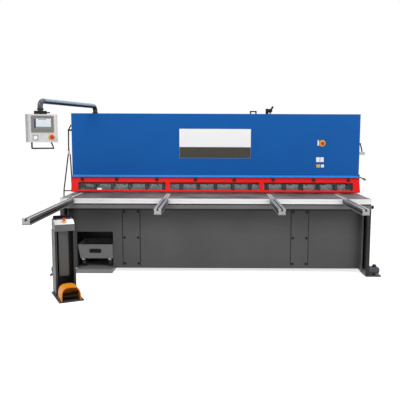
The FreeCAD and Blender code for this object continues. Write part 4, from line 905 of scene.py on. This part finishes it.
def arched_hood(work):
    inner_half = HOOD_HALF - HOOD_SIDE_WALL
    inner_tall = HOOD_TALL - HOOD_WALL
    outer_front = hood_arch(work, HOOD_HALF, HOOD_TALL, HOOD_FRONT, HOOD_LEAN)
    outer_back = hood_arch(work, HOOD_HALF, HOOD_TALL, HOOD_BACK, 0)
    inner_front = hood_arch(work, inner_half, inner_tall, HOOD_FRONT, HOOD_LEAN)
    inner_back = hood_arch(work, inner_half, inner_tall, HOOD_BACK - HOOD_WALL, 0)
    for first, second in ((outer_front, outer_back), (outer_front, inner_front), (inner_front, inner_back)):
        for i in range(len(first) - 1):
            work.faces.new((first[i], first[i + 1], second[i + 1], second[i]))
    work.faces.new(outer_back)
    work.faces.new(inner_back)
    for end in (0, -1):
        work.faces.new((outer_front[end], inner_front[end], inner_back[end], outer_back[end]))
    work.faces.new((outer_back[0], inner_back[0], inner_back[-1], outer_back[-1]))


hood = hard_corners(piece("arched_hood", arched_hood, hood_orange, "frame", pedestal_place, True))
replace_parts(hood, "switch_hood")


def pedal_ribs(work):
    for i in range(RIB_COUNT):
        y = RIB_FIRST + RIB_PITCH * i
        slab(work, (-RIB_HALF, y, RIB_Z[0]), (RIB_HALF, y + RIB_WIDE, RIB_Z[1]), 0.001)


piece("pedal_ribs", pedal_ribs, black_plastic, "pedal", pedestal_place)
piece("console_back_plate", lambda work: slab(work, *BACK_PLATE, 0.001),
      black_plastic, "frame", pedestal_place)

# Grips on the valve's lever and the side lever, and a round knob at the rail's end.
VALVE_LEVER_END = (0.668, -0.050, 1.860)
VALVE_LEVER_WAY = (32, 0, 50)
SIDE_LEVER_END = (1.752, -0.218, 1.040)
SIDE_LEVER_WAY = (84, 0, -38)
grip_outline = [(0.006, 0), (0.0115, 0.003), (0.0125, 0.030), (0.010, 0.037), (0, 0.039)]
rail_outline = [(0.012, 0), (0.012, 0.006), (0.019, 0.010), (0.020, 0.024), (0.016, 0.030), (0, 0.031)]
turned_piece("valve_lever_grip", grip_outline, VALVE_LEVER_END, VALVE_LEVER_WAY, black_plastic, "frame", 24)
turned_piece("side_lever_grip", grip_outline, SIDE_LEVER_END, SIDE_LEVER_WAY, dark_steel, "frame", 24)
_, rail_y, rail_z = middle_of("rail_knob")
rail_start = (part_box("rail_knob")[0][0], rail_y, rail_z)
rail_grip = turned_piece("rail_grip", rail_outline, rail_start, RIGHT, black_plastic, "frame", 32)
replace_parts(rail_grip, "rail_knob")

# Pendant: screen with its fields, the square button with its ring, and the box's fold lines.
PENDANT_FACE = -0.075
SCREEN_X = (-0.079, 0.084)
SCREEN_Z = (1.613, 1.708)
SCREEN_LAYERS = (0.003, 0.0042, 0.0046, 0.0049)
KEY_FIRST = -0.030
KEY_PITCH = 0.032
KEY_WIDE = 0.022
BUTTON_X = (-0.087, -0.049)
BUTTON_Z = (1.501, 1.539)
BUTTON_OUT = 0.004
RING_WIDE = 0.005
RING_OUT = 0.003
FOLD_Z = (1.482, 1.742)
LEFT_FOLD_X = (-0.1275, -0.1262)
RIGHT_FOLD_X = (0.1412, 0.1425)
FOLD_DEPTH = (-0.0002, 0.0006)
pendant_pivot = Vector(BOOM_PIVOT) + BOOM_REACH * Vector(boom_way)
pendant_place = Matrix.Translation(pendant_pivot) @ Matrix.Rotation(PENDANT_TURN, 4, "Z")


def pendant_piece(name, blocks, material, round_size=0.0003):
    """Flat blocks on the pendant's front: (x1, x2, z1, z2, back, front) from the face."""
    def build(work):
        for x1, x2, z1, z2, back, out in blocks:
            slab(work, (x1, PENDANT_FACE - out, z1), (x2, PENDANT_FACE - back, z2), round_size)
    return piece(name, build, material, "pendant", pendant_place)


picture, field, bar, key = SCREEN_LAYERS
screen_low, screen_high = SCREEN_Z
key_starts = [KEY_FIRST + i * KEY_PITCH for i in range(3)]
pendant_piece("screen_picture", [(*SCREEN_X, *SCREEN_Z, picture, field)], screen_white)
pendant_piece("screen_column",
              [(-0.078, -0.060, screen_low + 0.001, screen_high - 0.001, field, bar)], screen_blue)
pendant_piece("screen_bar",
              [(-0.058, 0.083, screen_low + 0.001, screen_low + 0.014, field, bar),
               (-0.040, 0.040, screen_high - 0.012, screen_high - 0.006, field, bar)], screen_teal)
pendant_piece("screen_keys",
              [(start, start + KEY_WIDE, screen_low + 0.003, screen_low + 0.012, bar, key)
               for start in key_starts], screen_green)
button_left, button_right = BUTTON_X
button_low, button_high = BUTTON_Z
ring_low = button_low - RING_WIDE
ring_high = button_high + RING_WIDE
pendant_piece("square_button", [(*BUTTON_X, *BUTTON_Z, 0.0, BUTTON_OUT)], plate_white, 0.001)
pendant_piece("square_button_ring",
              [(button_left - RING_WIDE, button_left, ring_low, ring_high, 0.0, RING_OUT),
               (button_right, button_right + RING_WIDE, ring_low, ring_high, 0.0, RING_OUT),
               (button_left, button_right, button_high, ring_high, 0.0, RING_OUT),
               (button_left, button_right, ring_low, button_low, 0.0, RING_OUT)], screen_blue)
pendant_piece("pendant_fold_lines",
              [(*LEFT_FOLD_X, *FOLD_Z, *FOLD_DEPTH), (*RIGHT_FOLD_X, *FOLD_Z, *FOLD_DEPTH)], bezel_grey, 0.0)

# Feet: cast lugs with rounded backs, in place of the plain blocks.
LUG_DEEP = 0.110
LUG_FOOT = 0.028
LUG_ROUND = 0.030
lug_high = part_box("levelling_lugs")[1]
frame_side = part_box("side_frame_right")[1][0]


def rounded_lugs(work):
    for x in (-1, 1):
        for y in (-1, 1):
            left, right = sorted((x * (frame_side - LUG_ROUND), x * lug_high[0]))
            front, back = sorted((y * lug_high[1], y * (lug_high[1] - LUG_DEEP)))
            slab(work, (left, front, LUG_FOOT), (right, back, lug_high[2]), LUG_ROUND, 5)


lugs = hard_corners(piece("rounded_lugs", rounded_lugs, lug_grey, "frame", soft=True), 60)
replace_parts(lugs, "levelling_lugs")

# Frame bolts, and the pivot pins' caps with their screws.
TIE_BOLT_Y = 0.018
TIE_BOLT_Z = 0.028
CAP_TALL = 0.012
CAP_SCREW_RING = 0.052
cap_outline = [(0.075, 0), (0.075, 0.008), (0.070, CAP_TALL), (0.03, CAP_TALL), (0.028, 0.009), (0, 0.009)]
_, tie_y, tie_z = middle_of("rear_tie")
pin_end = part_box("pivot_pins")[1][0]
_, pin_y, pin_z = middle_of("pivot_pins")
for side, label in ((1, "right"), (-1, "left")):
    out = (side, 0, 0)
    tie_points = [(side * frame_side, tie_y + across, tie_z + up)
                  for across in (-TIE_BOLT_Y, TIE_BOLT_Y) for up in (-TIE_BOLT_Z, TIE_BOLT_Z)]
    hexagon_heads("rear_tie_bolts_" + label, tie_points, out, across=0.018, tall=0.012,
                  material=dark_steel, body="frame")
    turned_piece("pin_cap_" + label, cap_outline, (side * pin_end, pin_y, pin_z), out, dark_steel, "frame")
    ring = [(side * (pin_end + CAP_TALL), pin_y + CAP_SCREW_RING * math.cos(i * math.pi / 3),
             pin_z + CAP_SCREW_RING * math.sin(i * math.pi / 3)) for i in range(6)]
    screws("pin_cap_screws_" + label, ring, out, radius=0.006, tall=0.005, material=black_metal, body="frame")

# Blade screws: one row through each blade.
BLADE_SCREWS_X = [-1.5 + 0.2 * i for i in range(16)]
UPPER_SCREW_Z = 0.955
LOWER_SCREW_Z = 0.82
upper_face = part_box("upper_blade")[0][1]
lower_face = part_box("lower_blade")[1][1]
screws("upper_blade_screws", [(x, upper_face, UPPER_SCREW_Z) for x in BLADE_SCREWS_X], FRONT,
       radius=0.010, tall=0.006, material=dark_steel, body="beam")
screws("lower_blade_screws", [(x, lower_face, LOWER_SCREW_Z) for x in BLADE_SCREWS_X], BACK,
       radius=0.010, tall=0.006, material=dark_steel, body="frame")

# Motor: cooling fins and the fan cover.
MOTOR_RADIUS = 0.110
MOTOR_AXIS_Z = 1.58
FIN_COUNT = 28
FIN_X = (0.64, 0.86)
FIN_HALF = 0.0016
FIN_SINK = 0.004
FIN_OUT = 0.014
fan_outline = [(0.112, -0.05), (0.118, -0.045), (0.118, -0.008), (0.108, 0.0), (0.04, 0.002), (0, 0.002)]
motor_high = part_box("pump_motor")[1]
motor_y = motor_high[1] - MOTOR_RADIUS
motor_axis = Matrix.Translation((0, motor_y, MOTOR_AXIS_Z))
fin_places = [motor_axis @ Matrix.Rotation(2 * math.pi * i / FIN_COUNT, 4, "X") for i in range(FIN_COUNT)]
piece("motor_fins",
      repeated(lambda work: slab(work, (FIN_X[0], MOTOR_RADIUS - FIN_SINK, -FIN_HALF),
                                 (FIN_X[1], MOTOR_RADIUS + FIN_OUT, FIN_HALF)), fin_places),
      cover_blue, "frame")
turned_piece("motor_fan_cover", fan_outline, (motor_high[0], motor_y, MOTOR_AXIS_Z), RIGHT,
             black_metal, "frame")

# Floor, backdrop, lights and camera
FLOOR_SIZE = 60
FLOOR_DROP = 0.0005
FLOOR_LIFT = 0.75
WORLD_LIGHT = 0.30
CAMERA_PLACE = (-0.025, -6.917, 1.569)
CAMERA_PITCH = 6.75
CAMERA_ROLL = -0.0038
CAMERA_LENS = 50.72
CAMERA_SHIFT = -0.0342

bpy.ops.mesh.primitive_plane_add(size=FLOOR_SIZE, location=(0, 0, -FLOOR_DROP))
floor = bpy.context.object
floor.name = "floor"
floor.data.materials.append(backdrop("floor white", (0.82, 0.82, 0.82), FLOOR_LIFT))

world = bpy.data.worlds.new("studio")
bpy.context.scene.world = world
world.use_nodes = True
background = world.node_tree.nodes["Background"]
background.inputs["Color"].default_value = (1, 1, 1, 1)
world.node_tree.links.new(lit_for_camera(world.node_tree, WORLD_LIGHT, 1.0), background.inputs["Strength"])


def area_light(name, place, aim, size, power):
    lamp = bpy.data.lights.new(name, "AREA")
    lamp.shape = "RECTANGLE"
    lamp.size, lamp.size_y = size
    lamp.energy = power
    thing = bpy.data.objects.new(name, lamp)
    bpy.context.scene.collection.objects.link(thing)
    thing.matrix_world = facing(place, [a - b for a, b in zip(place, aim)])


area_light("key light", place=(-3.5, -6.0, 5.5), aim=(0, -0.5, 0.9), size=(4.0, 3.0), power=215)
area_light("fill light", place=(4.5, -5.5, 3.5), aim=(0, -0.5, 0.8), size=(4.0, 3.0), power=105)
area_light("top light", place=(0, -0.5, 6.0), aim=(0, -0.3, 0.8), size=(6.0, 4.0), power=180)

camera_data = bpy.data.cameras.new("camera")
camera_data.lens = CAMERA_LENS
camera_data.sensor_width = 36
camera_data.shift_x = CAMERA_SHIFT
camera = bpy.data.objects.new("camera", camera_data)
bpy.context.scene.collection.objects.link(camera)
camera.location = CAMERA_PLACE
camera.rotation_euler = Euler((math.radians(90 - CAMERA_PITCH), CAMERA_ROLL, 0), "XYZ")
bpy.context.scene.camera = camera
bpy.context.scene.view_settings.view_transform = "Standard"
